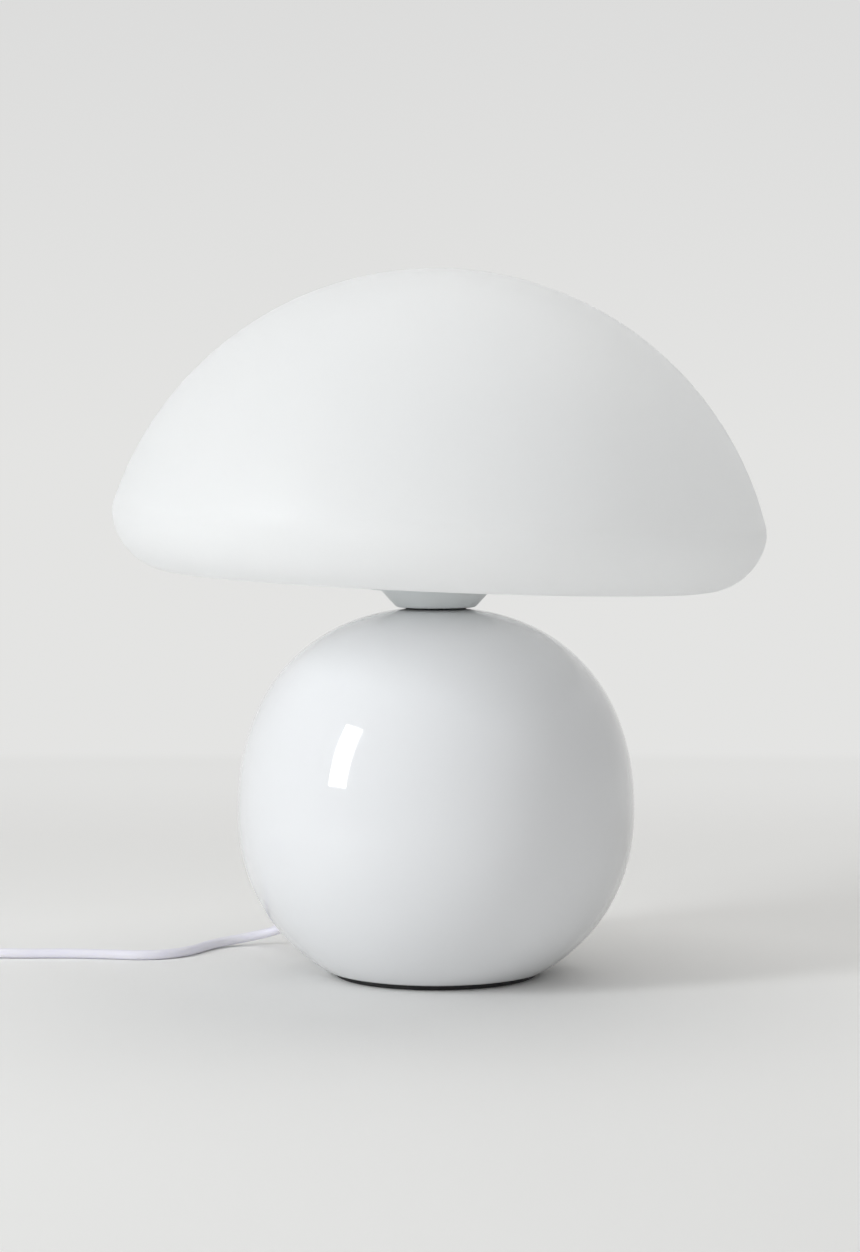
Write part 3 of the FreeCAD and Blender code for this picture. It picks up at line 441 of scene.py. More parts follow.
# %% Ball
lower = ball_curve(0, 0, -75, 400)
slope = np.gradient(lower, axis=0)
slope = slope / np.linalg.norm(slope, axis=1, keepdims=True)
normal = np.column_stack([slope[:, 1], -slope[:, 0]])
centres = lower + RIM_ROUND * normal
touch = int(np.argmax(centres[:, 1] < FOOT_HEIGHT + RIM_ROUND))
facing = bearing(centres[touch], lower[touch])
roll = arc(centres[touch], RIM_ROUND, facing, -90, 16)[1:]
crown = cut_at(ball_curve(0, 0, 89.9, 90), 0, LAND_RADIUS)[::-1]
hollow = cut_at(ball_curve(SHEET, 89.9, -60, 120), 1, FOOT_HEIGHT + SHEET)
hollow = hollow[hollow[:, 0] > LAND_RADIUS - SHEET]
profile = np.vstack([
    [(HOLE_RADIUS, LAND_HEIGHT), (10.0, LAND_HEIGHT), (LAND_RADIUS - 0.9, LAND_HEIGHT)],
    crown,
    lower[1:touch:5],
    lower[touch: touch + 1],
    roll,
    [(MOUTH_RADIUS + 0.6, FOOT_HEIGHT), (MOUTH_RADIUS, FOOT_HEIGHT),
     (MOUTH_RADIUS, FOOT_HEIGHT + SHEET)],
    hollow[::-1],
    [(LAND_RADIUS - SHEET, LAND_HEIGHT - SHEET), (HOLE_RADIUS, LAND_HEIGHT - SHEET)],
])
ball = place(skin("lacquered_ball", turned(profile, 224)), "base", "white_lacquer", "base_shell")
print("rim round touches the ball at radius", round(float(lower[touch][0]), 1))

# %% [markdown]
# ## Foot, neck and bush
#
# The foot is a rubber pad with a thin lip round the steel plate. Its underside has shallow rings that
# let it grip the table. The pad is a profile turned round the axis, and a formula puts the rings in.

# %% Foot pad
PAD_RADIUS, PAD_HEIGHT, PAD_LIP, PAD_WEB = 50.4, top_of("foot_pad"), 1.3, 1.2
GRIP_PITCH, GRIP_DEPTH = 5.6, 0.35


def ridges(position, first, pitch):
    """Rounded ridges, 1 high at first and every pitch on: the positive half of a cosine."""
    return np.clip(np.cos(2 * math.pi * (position - first) / pitch), 0, 1)


reach = np.linspace(0, PAD_RADIUS - 1.6, 220)
grip = ridges(reach, 2.0, GRIP_PITCH) ** 3 * (reach > 6)
plain_rim = np.clip(PAD_RADIUS - 2.4 - reach, 0, 1)
underside = np.column_stack([reach, GRIP_DEPTH * grip * plain_rim])
edge = spaced(rounded([
    (PAD_RADIUS - 1.5, 0), (PAD_RADIUS, 0, 0.8), (PAD_RADIUS, PAD_HEIGHT, 0.4),
    (PAD_RADIUS - PAD_LIP, PAD_HEIGHT), (PAD_RADIUS - PAD_LIP, PAD_WEB), (0, PAD_WEB),
]), 1.5)
pad = place(skin("foot_rubber", turned(np.vstack([underside, edge]), 160), wrap_rows=False),
            "base", "black_rubber", "foot_pad")

# %% [markdown]
# The neck cup is pressed from sheet: a flat floor, a 47 degree flare and a narrow flange that carries
# the gasket. Pressed sheet has one thickness all over, so the inner corners follow the outer ones.

# %% Neck cup
CUP_FLOOR, CUP_RIM, CUP_WALL = bottom_of("neck_cup") + HAIR, top_of("neck_cup") + HAIR, 1.4
CUP_BORE, CUP_FOOT, CUP_FLARE, CUP_FLANGE = 5.05, 19.6, 27.813, 33.0
FLARE_STEP = 0.613  # how far the inner corners lie inside the outer ones
cup = spaced(rounded([
    (CUP_BORE, CUP_FLOOR), (CUP_FOOT, CUP_FLOOR, 3.0), (CUP_FLARE, CUP_RIM - CUP_WALL, 1.0),
    (CUP_FLANGE, CUP_RIM - CUP_WALL, 0.5), (CUP_FLANGE, CUP_RIM, 0.5),
    (CUP_FLARE - FLARE_STEP, CUP_RIM, 2.4), (CUP_FOOT - FLARE_STEP, CUP_FLOOR + CUP_WALL, 1.6),
    (CUP_BORE, CUP_FLOOR + CUP_WALL),
], steps=8, closed=True), 0.8, closed=True)
cup = place(skin("neck_cup_pressing", turned(cup, 192)), "base", "grey_satin", "neck_cup")

# %% [markdown]
# The bush is the tapered sleeve that protects the cord where it leaves the steel. Its taper has
# moulded rings, which let it bend without kinking. It stands on the ball along the cord's own
# direction, so the turned points are laid out on three axes that are square to each other.

# %% Cord bush
BUSH_LENGTH = 21.0
BUSH_BORE, BUSH_NECK, BUSH_BARB, BUSH_FLANGE, TIP_RADIUS = 2.7, 5.1, 5.9, 7.5, 3.5
RIB_PITCH, RIB_DEPTH, RIBS_START, RIBS_STOP = 2.5, 0.42, 4.2, 18.6
EXIT_POINT = BUSH_TIP - BUSH_LENGTH * EXIT_WAY


def stood_on(grid, point, way):
    """Turns +Z of a grid onto a direction and moves it to a point: x, y and z times three axes that
    are square to each other."""
    way = way / np.linalg.norm(way)
    side = np.cross([0.0, 0.0, 1.0], way)
    side = side / np.linalg.norm(side)
    return grid @ np.vstack([side, np.cross(way, side), way]) + np.asarray(point) * MM


along = np.linspace(3.2, BUSH_LENGTH - 0.6, 150)
taper = np.interp(along, along[[0, -1]], [4.98, 3.55])
grooves = RIB_DEPTH * ridges(along, 5.0, RIB_PITCH) * (along > RIBS_START) * (along < RIBS_STOP)
sleeve = np.column_stack([taper - grooves, along])
foot = spaced(rounded([
    (BUSH_BORE, -6.55), (4.5, -6.55), (BUSH_BARB, -2.85), (BUSH_BARB, -2.05), (BUSH_NECK, -2.05),
    (BUSH_NECK, 0.05), (BUSH_FLANGE, 0.05, 0.4), (BUSH_FLANGE, 1.8, 0.8), (BUSH_NECK, 1.8, 1.0),
    (5.0, 3.1),
]), 0.6)
tip = rounded([(TIP_RADIUS + 0.04, 20.5), (TIP_RADIUS, BUSH_LENGTH, 0.4), (BUSH_BORE, BUSH_LENGTH)])
bush = stood_on(turned(np.vstack([foot, sleeve, tip]), 96), EXIT_POINT, EXIT_WAY)
bush = place(skin("tapered_bush", bush), "base", "white_plastic", "cord_bush")

# %% [markdown]
# ## Lampholder and bulb
#
# The bulb's cap is rolled from thin metal, and its thread is the shape of the metal itself. A bump
# map would look flat from the side, so the radius follows a cosine that winds once round the cap per
# 2.822 mm of height, and dies out at both ends.

# %% Threaded cap
CAP_FOOT, CAP_TOP = bottom_of("bulb_cap") + HAIR, top_of("bulb_cap") + HAIR
CAP_RADIUS, CAP_WALL, CAP_END = 6.95, 0.4, 5.35
PITCH, THREAD_DEPTH, THREAD_FADE = 2.822, 0.32, 1.2


def window(value, low, high, fade):
    """0 outside low and high and 1 between them, with a straight ramp of length fade at each end."""
    return np.clip((value - low) / fade, 0, 1) * np.clip((high - value) / fade, 0, 1)


outer = [(CAP_END, CAP_FOOT), (CAP_RADIUS, CAP_FOOT + 1.6, 0.8), (CAP_RADIUS, CAP_TOP)]
bore = CAP_RADIUS - CAP_WALL
inner = [(bore, CAP_TOP), (bore, CAP_FOOT + 1.9), (CAP_END, CAP_FOOT + 0.7)]
outer, inner = spaced(rounded(outer), 0.14), spaced(np.array(inner), 1.0)
profile = np.vstack([outer, inner])
cap = turned(profile, 96)
turn = np.linspace(0, 2 * math.pi, 96, endpoint=False)
height = profile[:, 1:] - CAP_FOOT
on_outside = (np.arange(len(profile)) < len(outer))[:, None]
fade = window(height, 1.2, CAP_TOP - CAP_FOOT - 1.8, THREAD_FADE) * on_outside
depth = fade * THREAD_DEPTH * (0.5 - 0.5 * np.cos(2 * math.pi * height / PITCH - turn))
cap[..., :2] *= (1 - depth / profile[:, :1])[..., None]
cap = place(skin("threaded_cap", cap), "bulb", "cap_metal", "bulb_cap")

# %% [markdown]
# The globe is a thin frosted ball that is open where it meets the bulb's body. Two arcs make its
# section, and their shared centre lies above the opening by a side of a right triangle: the square
# root of the globe's radius squared less the opening's squared.

# %% Globe
GLOBE_RADIUS, GLOBE_MOUTH, GLOBE_WALL = 22.5, 16.8, 1.2
rise = math.sqrt(GLOBE_RADIUS ** 2 - GLOBE_MOUTH ** 2)
centre = (0.0, bottom_of("bulb_globe") + HAIR + rise)
hollow = GLOBE_RADIUS - GLOBE_WALL
outer = arc(centre, GLOBE_RADIUS, math.degrees(math.asin(-rise / GLOBE_RADIUS)), 90, 64)
inner = arc(centre, hollow, 90, math.degrees(math.asin(-rise / hollow)), 48)
globe = turned(np.vstack([outer, inner])[::-1], 128)
globe = place(skin("frosted_globe", globe), "bulb", "bulb_opal", "bulb_globe")

# %% [markdown]
# The holder's sleeve has fine upright flutes for the fingers. A cosine round the axis makes them, and
# a window keeps them away from its plain ends and from its bore.

# %% Holder sleeve
SLEEVE_FOOT, SLEEVE_TOP = bottom_of("holder_sleeve") + HAIR, top_of("holder_sleeve") + HAIR
SLEEVE_RADIUS, SLEEVE_WALL, BEAD, BEAD_HEIGHT = 14.0, 1.5, 0.8, 3.0
FLUTES, FLUTE_DEPTH, FLUTE_FADE, PLAIN_FOOT, PLAIN_TOP = 36, 0.28, 1.5, 2.705, 5.295
profile = spaced(rounded([
    (SLEEVE_RADIUS - SLEEVE_WALL, SLEEVE_FOOT), (SLEEVE_RADIUS, SLEEVE_FOOT, 0.3),
    (SLEEVE_RADIUS, SLEEVE_TOP - BEAD_HEIGHT, 0.5),
    (SLEEVE_RADIUS + BEAD, SLEEVE_TOP - BEAD_HEIGHT, 0.3), (SLEEVE_RADIUS + BEAD, SLEEVE_TOP, 0.6),
    (SLEEVE_RADIUS - SLEEVE_WALL, SLEEVE_TOP, 0.4),
], closed=True), 0.9, closed=True)
sleeve = turned(profile, 360)
turn = np.linspace(0, 2 * math.pi, 360, endpoint=False)
on_outside = profile[:, :1] > SLEEVE_RADIUS - 0.1
fade = window(profile[:, 1:], SLEEVE_FOOT + PLAIN_FOOT, SLEEVE_TOP - PLAIN_TOP, FLUTE_FADE) * on_outside
depth = FLUTE_DEPTH * fade * (0.5 - 0.5 * np.cos(FLUTES * turn))
sleeve[..., :2] *= (1 - depth / profile[:, :1])[..., None]
sleeve = place(skin("fluted_sleeve", sleeve), "base", "holder_thermoset", "holder_sleeve")

# %% [markdown]
# ## Plug
#
# A moulded flat plug: narrow where the cord enters, a waist for the fingers, and a wide face that
# carries the pins. Its section is a superellipse, between an oval and a rounded box, and smooth steps
# along its length give its width and depth. Low ridges across the waist give grip.

# %% Plug body
PLUG = np.array([-316.0, -33.0, 7.0])
PLUG_LENGTH, PLUG_ROUND = 36.0, 1.2
REAR_WIDE, WAIST_WIDE, FACE_WIDE = 6.5, 9.8, 17.5  # half widths and half depths
REAR_DEEP, FACE_DEEP = 5.0, 6.8
STEP_LENGTH, FACE_START, SQUARENESS = 14.0, 17.0, 0.62
RIDGE_HEIGHT, RIDGE_PITCH, RIDGES_START, RIDGES_STOP = 0.5, 3.0, 5.2, 19.0


def quarter_round(distance):
    """Share of the full section this far from an end: the height of a quarter circle."""
    return np.sqrt(np.clip(1 - (1 - np.clip(distance / PLUG_ROUND, 0, 1)) ** 2, 0, 1))


run = np.concatenate([
    np.linspace(0, PLUG_ROUND, 8), np.linspace(1.4, PLUG_LENGTH - 1.4, 140),
    np.linspace(PLUG_LENGTH - PLUG_ROUND, PLUG_LENGTH, 8),
])
to_waist, to_face = smooth(run / STEP_LENGTH), smooth((run - FACE_START) / STEP_LENGTH)
wide = REAR_WIDE + (WAIST_WIDE - REAR_WIDE) * to_waist + (FACE_WIDE - WAIST_WIDE) * to_face
deep = REAR_DEEP + (FACE_DEEP - REAR_DEEP) * to_waist
ends = PLUG_ROUND * (quarter_round(run) * quarter_round(PLUG_LENGTH - run) - 1)
wide, deep = wide + ends, deep + ends
grip = RIDGE_HEIGHT * ridges(run, 4.5, RIDGE_PITCH) * (run > RIDGES_START) * (run < RIDGES_STOP)
turn = np.linspace(0, 2 * math.pi, 128, endpoint=False)
side = np.sign(np.cos(turn)) * np.abs(np.cos(turn)) ** SQUARENESS
flat = np.sign(np.sin(turn)) * np.abs(np.sin(turn)) ** SQUARENESS
body = np.stack([
    run[:, None] * np.ones(128),
    wide[:, None] * side,
    (deep[:, None] - grip[:, None] * smooth(1.6 - 2.2 * np.abs(side))) * flat,
], axis=-1)
hearts = body[[0, -1]].mean(axis=1, keepdims=True) * np.ones((1, 128, 1))
body = (np.concatenate([hearts[:1], body, hearts[1:]]) + PLUG) * MM
plug = place(skin("moulded_plug", body, wrap_rows=False), "base", "white_plastic", "plug_body")

# %% [markdown]
# ## The cords on the base
#
# The plug is there now, so each lead can go on the base body, and the solids that it stands for are
# hidden.

for lead, nodes in ((lamp_lead, ["lamp_cord"]), (mains_lead, ["mains_cord", "cord_coil", "plug_cord"])):
    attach(lead, "base")
    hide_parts(*nodes)
print("cords declared:", lamp_lead.name, "and", mains_lead.name)

# %% [markdown]
# ## Finishes
#
# A finish starts from one shader whose plain values are set on its own sockets. Detail is then added
# with small helpers: `pattern` gives a noise in the piece's own metres, and `spread` changes its
# range. Everything reads Object coordinates, so a pattern stays on its piece when the piece moves.

# %% Finish helpers
def new_finish(name, colour, roughness, **sockets):
    """A material with one shader; each plain value goes straight to its socket."""
    material = bpy.data.materials.new(name)
    material.use_nodes = True
    shader = material.node_tree.nodes["Principled BSDF"]
    shader.inputs["Base Color"].default_value = (*colour, 1)
    shader.inputs["Roughness"].default_value = roughness
    for socket, value in sockets.items():
        shader.inputs[socket.replace("_", " ")].default_value = value
    material.diffuse_color = (*colour, 1)
    return material


def pattern(material, scale, detail=3.0, stretch=(1, 1, 1)):
    """Noise with `scale` features per metre; `stretch` multiplies that number along each axis."""
    nodes, links = material.node_tree.nodes, material.node_tree.links
    where = nodes.new("ShaderNodeTexCoord")
    mapping = nodes.new("ShaderNodeMapping")
    texture = nodes.new("ShaderNodeTexNoise")
    mapping.inputs["Scale"].default_value = stretch
    texture.inputs["Scale"].default_value = scale
    texture.inputs["Detail"].default_value = detail
    links.new(where.outputs["Object"], mapping.inputs["Vector"])
    links.new(mapping.outputs["Vector"], texture.inputs["Vector"])
    return texture.outputs[0]


def spread(material, source, low, high, start=0.3, stop=0.7):
    """Maps a value from one range onto another, clamped at both ends."""
    node = material.node_tree.nodes.new("ShaderNodeMapRange")
    material.node_tree.links.new(source, node.inputs["Value"])
    for socket, value in (("From Min", start), ("From Max", stop), ("To Min", low), ("To Max", high)):
        node.inputs[socket].default_value = value
    return node.outputs["Result"]


# %% [markdown]
# These helpers use such a value: `shift` for the colour, `relief` for bumps and `roughen` for gloss.

# %% Colour, bumps and gloss
def shift(material, source, first, second):
    """Mixes two near tones by a value from 0 to 1, into the base colour."""
    node = material.node_tree.nodes.new("ShaderNodeMix")
    node.data_type = "RGBA"
    node.inputs["A"].default_value = (*first, 1)
    node.inputs["B"].default_value = (*second, 1)
    links = material.node_tree.links
    links.new(source, node.inputs["Factor"])
    links.new(node.outputs["Result"], material.node_tree.nodes["Principled BSDF"].inputs["Base Color"])


def relief(material, source, depth, strength=1.0):
    """Fine bumps `depth` metres high; a second call adds its bumps to the first."""
    nodes, links = material.node_tree.nodes, material.node_tree.links
    normal = nodes["Principled BSDF"].inputs["Normal"]
    bump = nodes.new("ShaderNodeBump")
    bump.inputs["Distance"].default_value = depth
    bump.inputs["Strength"].default_value = strength
    links.new(source, bump.inputs["Height"])
    if normal.links:
        links.new(normal.links[0].from_socket, bump.inputs["Normal"])
    links.new(bump.outputs["Normal"], normal)


def roughen(material, source):
    """Lets a value set the roughness, from 0 for a mirror to 1 for chalk."""
    links = material.node_tree.links
    links.new(source, material.node_tree.nodes["Principled BSDF"].inputs["Roughness"])


FINISHES = {}

# %% [markdown]
# ## Opal glass
#
# Opal glass is milky all through, and here its skin is etched to a satin. A third of the light
# bounces off; the rest goes through, fills the hollow shade and comes out again all round, which
# lifts the shaded side and the underside. Subsurface scattering could do it, slowly. A Translucent
# shader mixed with the satin one does the same for a thin wall. The blow pipe and the etching leave
# soft level bands, a faint cloudiness and a very fine tooth in the skin.

# %% Opal glass
OPAL_FIRST, OPAL_SECOND = (0.955, 0.96, 0.967), (0.972, 0.974, 0.974)
OPAL_THROUGH = 0.66  # share of the light that goes through the wall
opal = new_finish("opal_glass", OPAL_SECOND, 0.42, IOR=1.5)
shift(opal, spread(opal, pattern(opal, 7.0, 4.0), 0, 1), OPAL_FIRST, OPAL_SECOND)
roughen(opal, spread(opal, pattern(opal, 45.0, 5.0), 0.38, 0.47))
relief(opal, pattern(opal, 3200.0, 2.0), 0.00001, 0.5)
relief(opal, pattern(opal, 9.0, 2.0, (1, 1, 7)), 0.0004, 0.25)
nodes, links = opal.node_tree.nodes, opal.node_tree.links
through = nodes.new("ShaderNodeBsdfTranslucent")
through.inputs["Color"].default_value = (*OPAL_SECOND, 1)
wall_mix = nodes.new("ShaderNodeMixShader")
wall_mix.inputs["Fac"].default_value = OPAL_THROUGH
links.new(nodes["Principled BSDF"].outputs["BSDF"], wall_mix.inputs[1])
links.new(through.outputs["BSDF"], wall_mix.inputs[2])
links.new(wall_mix.outputs["Shader"], nodes["Material Output"].inputs["Surface"])
FINISHES["opal_glass"] = opal
print("finished", opal.name)

# %% [markdown]
# ## Lacquer and satin paint
#
# The ball has a thick gloss lacquer. Under a lamp such a surface is never a perfect mirror: the paint
# pulls into a very shallow orange peel, a few millimetres across, and handling leaves slightly duller
# places. The neck cup has a satin grey paint, with a finer and stronger peel.

# %% Painted metal
lacquer = new_finish("white_lacquer", (0.805, 0.813, 0.827), 0.05, IOR=1.5,
                     Coat_Weight=0.35, Coat_Roughness=0.03)
cloudy = spread(lacquer, pattern(lacquer, 11.0), 0, 1)
shift(lacquer, cloudy, (0.798, 0.806, 0.82), (0.812, 0.819, 0.832))
roughen(lacquer, spread(lacquer, pattern(lacquer, 30.0, 6.0), 0.035, 0.085))
relief(lacquer, pattern(lacquer, 260.0, 1.0), 0.000012, 0.35)
FINISHES["white_lacquer"] = lacquer

satin = new_finish("grey_satin", (0.79, 0.82, 0.82), 0.34, IOR=1.48)
shift(satin, spread(satin, pattern(satin, 60.0, 4.0), 0, 1), (0.78, 0.812, 0.814), (0.80, 0.825, 0.824))
roughen(satin, spread(satin, pattern(satin, 120.0, 4.0), 0.3, 0.4))
relief(satin, pattern(satin, 1500.0, 2.0), 0.00002, 0.4)
FINISHES["grey_satin"] = satin
print("finished", lacquer.name, "and", satin.name)

# %% [markdown]
# ## Rubber and gasket
#
# Moulded rubber is nearly black and dull, with a little dust on it in patches. The gasket is a clear
# soft ring, so part of the light goes through it.

# %% Rubber and gasket
rubber = new_finish("black_rubber", (0.012, 0.012, 0.013), 0.62, IOR=1.45)
dust = spread(rubber, pattern(rubber, 90.0, 5.0), 0, 1, 0.45, 0.75)
shift(rubber, dust, (0.010, 0.010, 0.011), (0.024, 0.023, 0.022))
roughen(rubber, spread(rubber, pattern(rubber, 200.0, 3.0), 0.52, 0.72))
relief(rubber, pattern(rubber, 1800.0, 3.0), 0.00004, 0.6)
FINISHES["black_rubber"] = rubber

gasket = new_finish("clear_gasket", (0.80, 0.82, 0.82), 0.22, IOR=1.42, Transmission_Weight=0.55)
shift(gasket, spread(gasket, pattern(gasket, 150.0, 3.0), 0, 1), (0.76, 0.79, 0.79), (0.84, 0.85, 0.85))
relief(gasket, pattern(gasket, 900.0, 2.0), 0.00002, 0.4)
FINISHES["clear_gasket"] = gasket
print("finished", rubber.name, "and", gasket.name)

# %% [markdown]
# ## Plastics, ceramic and bulb
#
# These and the black glass at the bulb's foot share one recipe: a faint unevenness of the colour, and
# a fine spark texture from the mould, which softens the highlights.

# %% Plastics and ceramics
def moulded(name, first, second, roughness, tooth=1600.0, **sockets):
    """Two near tones, roughness that wanders by a fifth, and the mould's fine tooth."""
    material = new_finish(name, first, roughness, **sockets)
    shift(material, spread(material, pattern(material, 70.0, 4.0), 0, 1), first, second)
    roughen(material, spread(material, pattern(material, 180.0, 4.0), roughness * 0.9, roughness * 1.12))
    relief(material, pattern(material, tooth, 2.0), 0.00002, 0.45)
    FINISHES[name] = material


moulded("white_plastic", (0.80, 0.80, 0.815), (0.84, 0.84, 0.845), 0.36)
moulded("holder_thermoset", (0.78, 0.775, 0.76), (0.82, 0.815, 0.80), 0.42, 900.0)
moulded("ceramic", (0.80, 0.79, 0.765), (0.85, 0.84, 0.82), 0.5, 2600.0)
moulded("bulb_plastic", (0.83, 0.83, 0.825), (0.87, 0.87, 0.865), 0.4, 2000.0)
moulded("bulb_opal", (0.88, 0.88, 0.87), (0.91, 0.91, 0.90), 0.48, 2400.0, Subsurface_Weight=0.3,
        Subsurface_Radius=(0.006, 0.006, 0.006), Subsurface_Scale=1.0)
moulded("black_glass", (0.010, 0.010, 0.012), (0.020, 0.019, 0.022), 0.08, 600.0)
print("finishes so far:", ", ".join(FINISHES))

# %% [markdown]
# ## Metals
#
# The fittings are stock hardware: bright zinc, brass, dark cast iron and nickel. Turned parts carry
# fine rings from the lathe, which are bands along the height; zinc shows cloudy crystals; cast iron
# is pitted. A metal's colour is its reflection, so the tones sit in the base colour.

# %% Metal finishes
def metal(name, first, second, roughness, rings=0.0, clouds=120.0, pits=0.0):
    """Metal with cloudy tones; rings adds lathe marks per metre, pits adds a cast skin."""
    material = new_finish(name, first, roughness, Metallic=1.0)
    shift(material, spread(material, pattern(material, clouds, 5.0), 0, 1), first, second)
    cloud = pattern(material, clouds * 2, 5.0)
    roughen(material, spread(material, cloud, roughness * 0.75, roughness * 1.3))
    if rings:
        relief(material, pattern(material, rings, 2.0, (0.02, 0.02, 1)), 0.00001, 0.35)
    if pits:
        relief(material, pattern(material, pits, 6.0), 0.0003, 0.7)
    FINISHES[name] = material


metal("zinc_steel", (0.60, 0.61, 0.62), (0.70, 0.70, 0.69), 0.32, clouds=220.0)
metal("brass", (0.72, 0.52, 0.22), (0.80, 0.62, 0.30), 0.26, rings=2400.0)
metal("iron", (0.10, 0.10, 0.105), (0.17, 0.165, 0.16), 0.58, clouds=60.0, pits=420.0)
metal("cap_metal", (0.70, 0.70, 0.69), (0.80, 0.79, 0.77), 0.22, rings=1800.0)
metal("pin_metal", (0.66, 0.66, 0.65), (0.78, 0.77, 0.75), 0.2, clouds=300.0)
print("finishes so far:", len(FINISHES))

# %% [markdown]
# ## Cord, cores and board
#
# The cord's vinyl is soft, white with a slight lilac cast, and has a long, shallow waviness from the
# extruder. The two cores inside the lamp are told apart by colour: brown on one side of the axis and
# blue on the other, so their material looks at the side it is on. The board is white solder mask with
# eight yellow diode faces, picked out by height.

# %% Cord, cores and board
vinyl = new_finish("cord_vinyl", (0.80, 0.785, 0.86), 0.38, Subsurface_Weight=0.15,
                   Subsurface_Radius=(0.002, 0.002, 0.003), Subsurface_Scale=1.0)
shift(vinyl, spread(vinyl, pattern(vinyl, 55.0, 3.0), 0, 1), (0.79, 0.775, 0.855), (0.83, 0.82, 0.875))
roughen(vinyl, spread(vinyl, pattern(vinyl, 150.0, 3.0), 0.32, 0.45))
relief(vinyl, pattern(vinyl, 110.0, 2.0), 0.00008, 0.3)
FINISHES["cord_vinyl"] = vinyl


def by_axis(material, axis, low, high):
    """0 where an Object coordinate is under low, 1 where it is over high."""
    nodes, links = material.node_tree.nodes, material.node_tree.links
    split = nodes.new("ShaderNodeSeparateXYZ")
    links.new(nodes.new("ShaderNodeTexCoord").outputs["Object"], split.inputs["Vector"])
    return spread(material, split.outputs[axis], 0, 1, low, high)


CORE_BROWN, CORE_BLUE = (0.20, 0.085, 0.035), (0.03, 0.12, 0.42)
cores = new_finish("core_vinyl", CORE_BLUE, 0.36)
shift(cores, by_axis(cores, "X", -0.0002, 0.0002), CORE_BROWN, CORE_BLUE)
relief(cores, pattern(cores, 700.0, 2.0), 0.00003, 0.4)
FINISHES["core_vinyl_blue"] = cores

BOARD_WHITE, DIODE_YELLOW = (0.84, 0.84, 0.82), (0.86, 0.66, 0.16)
DIODE_START, DIODE_STOP = 0.257505, 0.257525  # metres, just above the board's own face
board = new_finish("board_white", BOARD_WHITE, 0.4)
shift(board, by_axis(board, "Z", DIODE_START, DIODE_STOP), BOARD_WHITE, DIODE_YELLOW)
relief(board, pattern(board, 1500.0, 2.0), 0.00002, 0.4)
FINISHES["board_white"] = board
print("finished", vinyl.name + ",", cores.name, "and", board.name)

# %% [markdown]
# Every piece, new or carried over from the frame, now takes the finish that the record names for it.

# %% Put the finishes on
slot_of = {part["node"]: part["material_slot"] for part in frame["record"]["subparts"]}
new_pieces = {
    lamp_lead: "cord_vinyl", mains_lead: "cord_vinyl", shade: "opal_glass", ball: "white_lacquer",
    pad: "black_rubber", cup: "grey_satin", bush: "white_plastic", cap: "cap_metal", globe: "bulb_opal",
    sleeve: "holder_thermoset", plug: "white_plastic",
}
for piece, slot in new_pieces.items():
    piece.data.materials.clear()
    piece.data.materials.append(FINISHES[slot])
for name, node in frame["nodes"].items():
    node.data.materials.clear()
    node.data.materials.append(FINISHES[slot_of[name]])
print(len(new_pieces), "new pieces and", len(frame["nodes"]), "nodes finished")

# %% [markdown]
# ## Table and background
#
# The lamp stands on a large pale table that runs into a pale wall. A real wall would block the views
# from behind, so the table's far part simply takes the background's tone, for the camera and for
# what gloss and glass show. The change is stored on the mesh: a number that is 0 near the lamp and 1
# far away, along a squarish ring. Three quarters of it come slowly. The last quarter is quick
# straight behind the lamp, where the photograph's edge between table and wall lies.

# %% Table
BACKGROUND = (0.775, 0.775, 0.765)
HAZE_START, HAZE_WIDTH, HAZE_SHARE = 0.35, 0.6, 0.75
EDGE_START, EDGE_WIDTH, EDGE_AWAY, EDGE_TIGHTER = 0.62, 0.7, 0.41, 0.6
near, line, beyond = np.linspace(0, 0.9, 24), np.linspace(0.94, 1.3, 28), np.linspace(1.35, 2.2, 16)
reach = np.concatenate([near, line, beyond, [3, 6]])
turn = np.linspace(0, 2 * math.pi, 96, endpoint=False)
floor_x, floor_y = reach[:, None] * np.cos(turn), reach[:, None] * np.sin(turn)
grid = np.stack([floor_x, floor_y, np.zeros_like(floor_x)], axis=-1)
table = skin("table_top", grid, wrap_rows=False)
spots = np.zeros(len(table.data.vertices) * 3)
table.data.vertices.foreach_get("co", spots)
spots = spots.reshape(-1, 3)
ring = np.maximum((spots[:, 0] ** 4 + spots[:, 1] ** 4) ** 0.25, 0.01)
behind = np.clip(spots[:, 1] / ring, 0, 1) ** 4
far = table.data.attributes.new("far", "FLOAT", "POINT")
haze = smooth((ring - HAZE_START) / HAZE_WIDTH)
edge = smooth((ring - EDGE_START - EDGE_AWAY * behind) / (EDGE_WIDTH - EDGE_TIGHTER * behind))
far.data.foreach_set("value", HAZE_SHARE * haze + (1 - HAZE_SHARE) * edge)
print("table points", len(spots))

# %% [markdown]
# The table's paint is nearly white and dull. A second, glowing shader has the background's tone, and
# the two are blended by the number on the mesh. Plain light still meets the paint everywhere, so the
# table throws its light up at the lamp as a real one does.

# %% Table paint
def shown_to(nodes, links):
    """1 for a ray that comes from the camera, from gloss or through glass, and 0 for plain light."""
    path = nodes.new("ShaderNodeLightPath")
    total = path.outputs["Is Camera Ray"]
    for kind in ("Is Glossy Ray", "Is Transmission Ray"):
        either = nodes.new("ShaderNodeMath")
        either.operation = "MAXIMUM"
        links.new(total, either.inputs[0])
        links.new(path.outputs[kind], either.inputs[1])
        total = either.outputs["Value"]
    return total


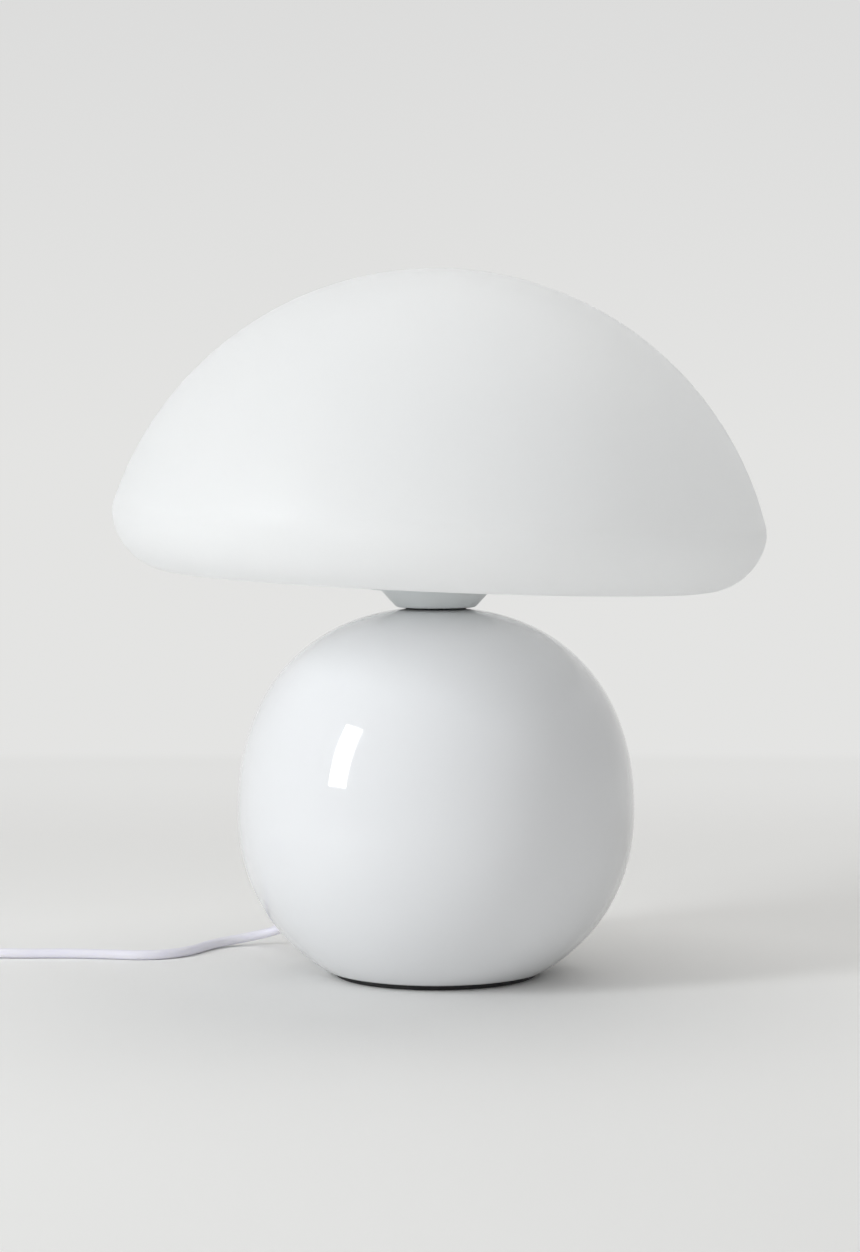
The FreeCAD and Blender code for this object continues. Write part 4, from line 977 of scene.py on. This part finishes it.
stone = new_finish("table_paint", (0.922, 0.917, 0.902), 0.6)
shift(stone, spread(stone, pattern(stone, 3.0, 4.0), 0, 1), (0.917, 0.912, 0.897), (0.928, 0.924, 0.91))
relief(stone, pattern(stone, 900.0, 3.0), 0.00005, 0.3)
nodes, links = stone.node_tree.nodes, stone.node_tree.links
distance = nodes.new("ShaderNodeAttribute")
distance.attribute_name = "far"
both = nodes.new("ShaderNodeMath")
both.operation = "MULTIPLY"
wall = nodes.new("ShaderNodeEmission")
wall.inputs["Color"].default_value = (*BACKGROUND, 1)
blend = nodes.new("ShaderNodeMixShader")
links.new(distance.outputs["Fac"], both.inputs[0])
links.new(shown_to(nodes, links), both.inputs[1])
links.new(both.outputs["Value"], blend.inputs["Fac"])
links.new(nodes["Principled BSDF"].outputs["BSDF"], blend.inputs[1])
links.new(wall.outputs["Emission"], blend.inputs[2])
links.new(blend.outputs["Shader"], nodes["Material Output"].inputs["Surface"])
table.data.materials.append(stone)
print("table finished in", stone.name)

# %% [markdown]
# ## Light
#
# One tall soft lamp stands to the left and a little in front. Its size and place come from its own
# reflection, the bright strip on the ball: a mirror ball halves angles, so the strip's width and
# height give the lamp's. A large weak lamp overhead fills the table, and a low one in front lifts the
# underside of the ball and shows in no reflection.

# %% Lamps
def soft_lamp(name, place, aim, size, watts, colour):
    """Rectangular lamp at a place, turned so that it faces the aim."""
    data = bpy.data.lights.new(name, "AREA")
    data.shape = "RECTANGLE"
    data.size, data.size_y = size
    data.energy = watts
    data.color = colour
    lamp = bpy.data.objects.new(name, data)
    lamp.location = place
    way = np.asarray(aim, float) - np.asarray(place, float)
    flat = math.hypot(way[0], way[1])
    lamp.rotation_euler = (math.atan2(flat, -way[2]), 0, math.atan2(way[1], way[0]) - math.pi / 2)
    bpy.context.scene.collection.objects.link(lamp)
    print(name, watts, "W")
    return lamp


soft_lamp("tall_softbox", (-1.58, -1.0, 0.85), (0, 0, 0.15), (0.40, 1.03), 17.8, (0.95, 0.98, 1.0))
soft_lamp("overhead", (0.35, 0.75, 2.4), (0.1, 0.45, 0), (2.4, 2.4), 25.0, (1.0, 0.992, 0.975))
low_fill = soft_lamp("low_fill", (-0.35, -2.1, 0.4), (0, 0, 0.05), (1.6, 0.6), 5.5, (0.98, 0.99, 1.0))
low_fill.visible_glossy = False

# %% [markdown]
# The surroundings give an even light that is stronger at the front, on the left and low down. A
# picture of a room could do it, but two plain tones are enough here. The camera, gloss and glass see
# the plain background instead, which grows a little darker towards the top.

# %% Surroundings
world = bpy.data.worlds.new("studio")
bpy.context.scene.world = world
world.use_nodes = True
nodes, links = world.node_tree.nodes, world.node_tree.links
room = nodes["Background"]
way = nodes.new("ShaderNodeTexCoord")
backdrop = nodes.new("ShaderNodeBackground")


def fall_off(shader, direction, start, stop, first, second):
    """Colour from first to second as the view's way, times a direction, goes from start to stop."""
    facing = nodes.new("ShaderNodeVectorMath")
    facing.operation = "DOT_PRODUCT"
    facing.inputs[1].default_value = direction
    side = nodes.new("ShaderNodeMapRange")
    side.inputs["From Min"].default_value = start
    side.inputs["From Max"].default_value = stop
    tone = nodes.new("ShaderNodeMix")
    tone.data_type = "RGBA"
    tone.inputs["A"].default_value = (*first, 1)
    tone.inputs["B"].default_value = (*second, 1)
    links.new(way.outputs["Generated"], facing.inputs[0])
    links.new(facing.outputs["Value"], side.inputs["Value"])
    links.new(side.outputs["Result"], tone.inputs["Factor"])
    links.new(tone.outputs["Result"], shader.inputs["Color"])


fall_off(room, (0.42, 0.82, 0.38), -1.0, 1.0, (0.50, 0.503, 0.51), (0.18, 0.18, 0.176))
fall_off(backdrop, (0.0, 0.0, 1.0), 0.0, 0.16, BACKGROUND, (0.715, 0.715, 0.71))
blend = nodes.new("ShaderNodeMixShader")
links.new(shown_to(nodes, links), blend.inputs["Fac"])
links.new(room.outputs["Background"], blend.inputs[1])
links.new(backdrop.outputs["Background"], blend.inputs[2])
links.new(blend.outputs["Shader"], nodes["World Output"].inputs["Surface"])
bpy.context.scene.view_settings.view_transform = "Standard"
print("background", BACKGROUND)
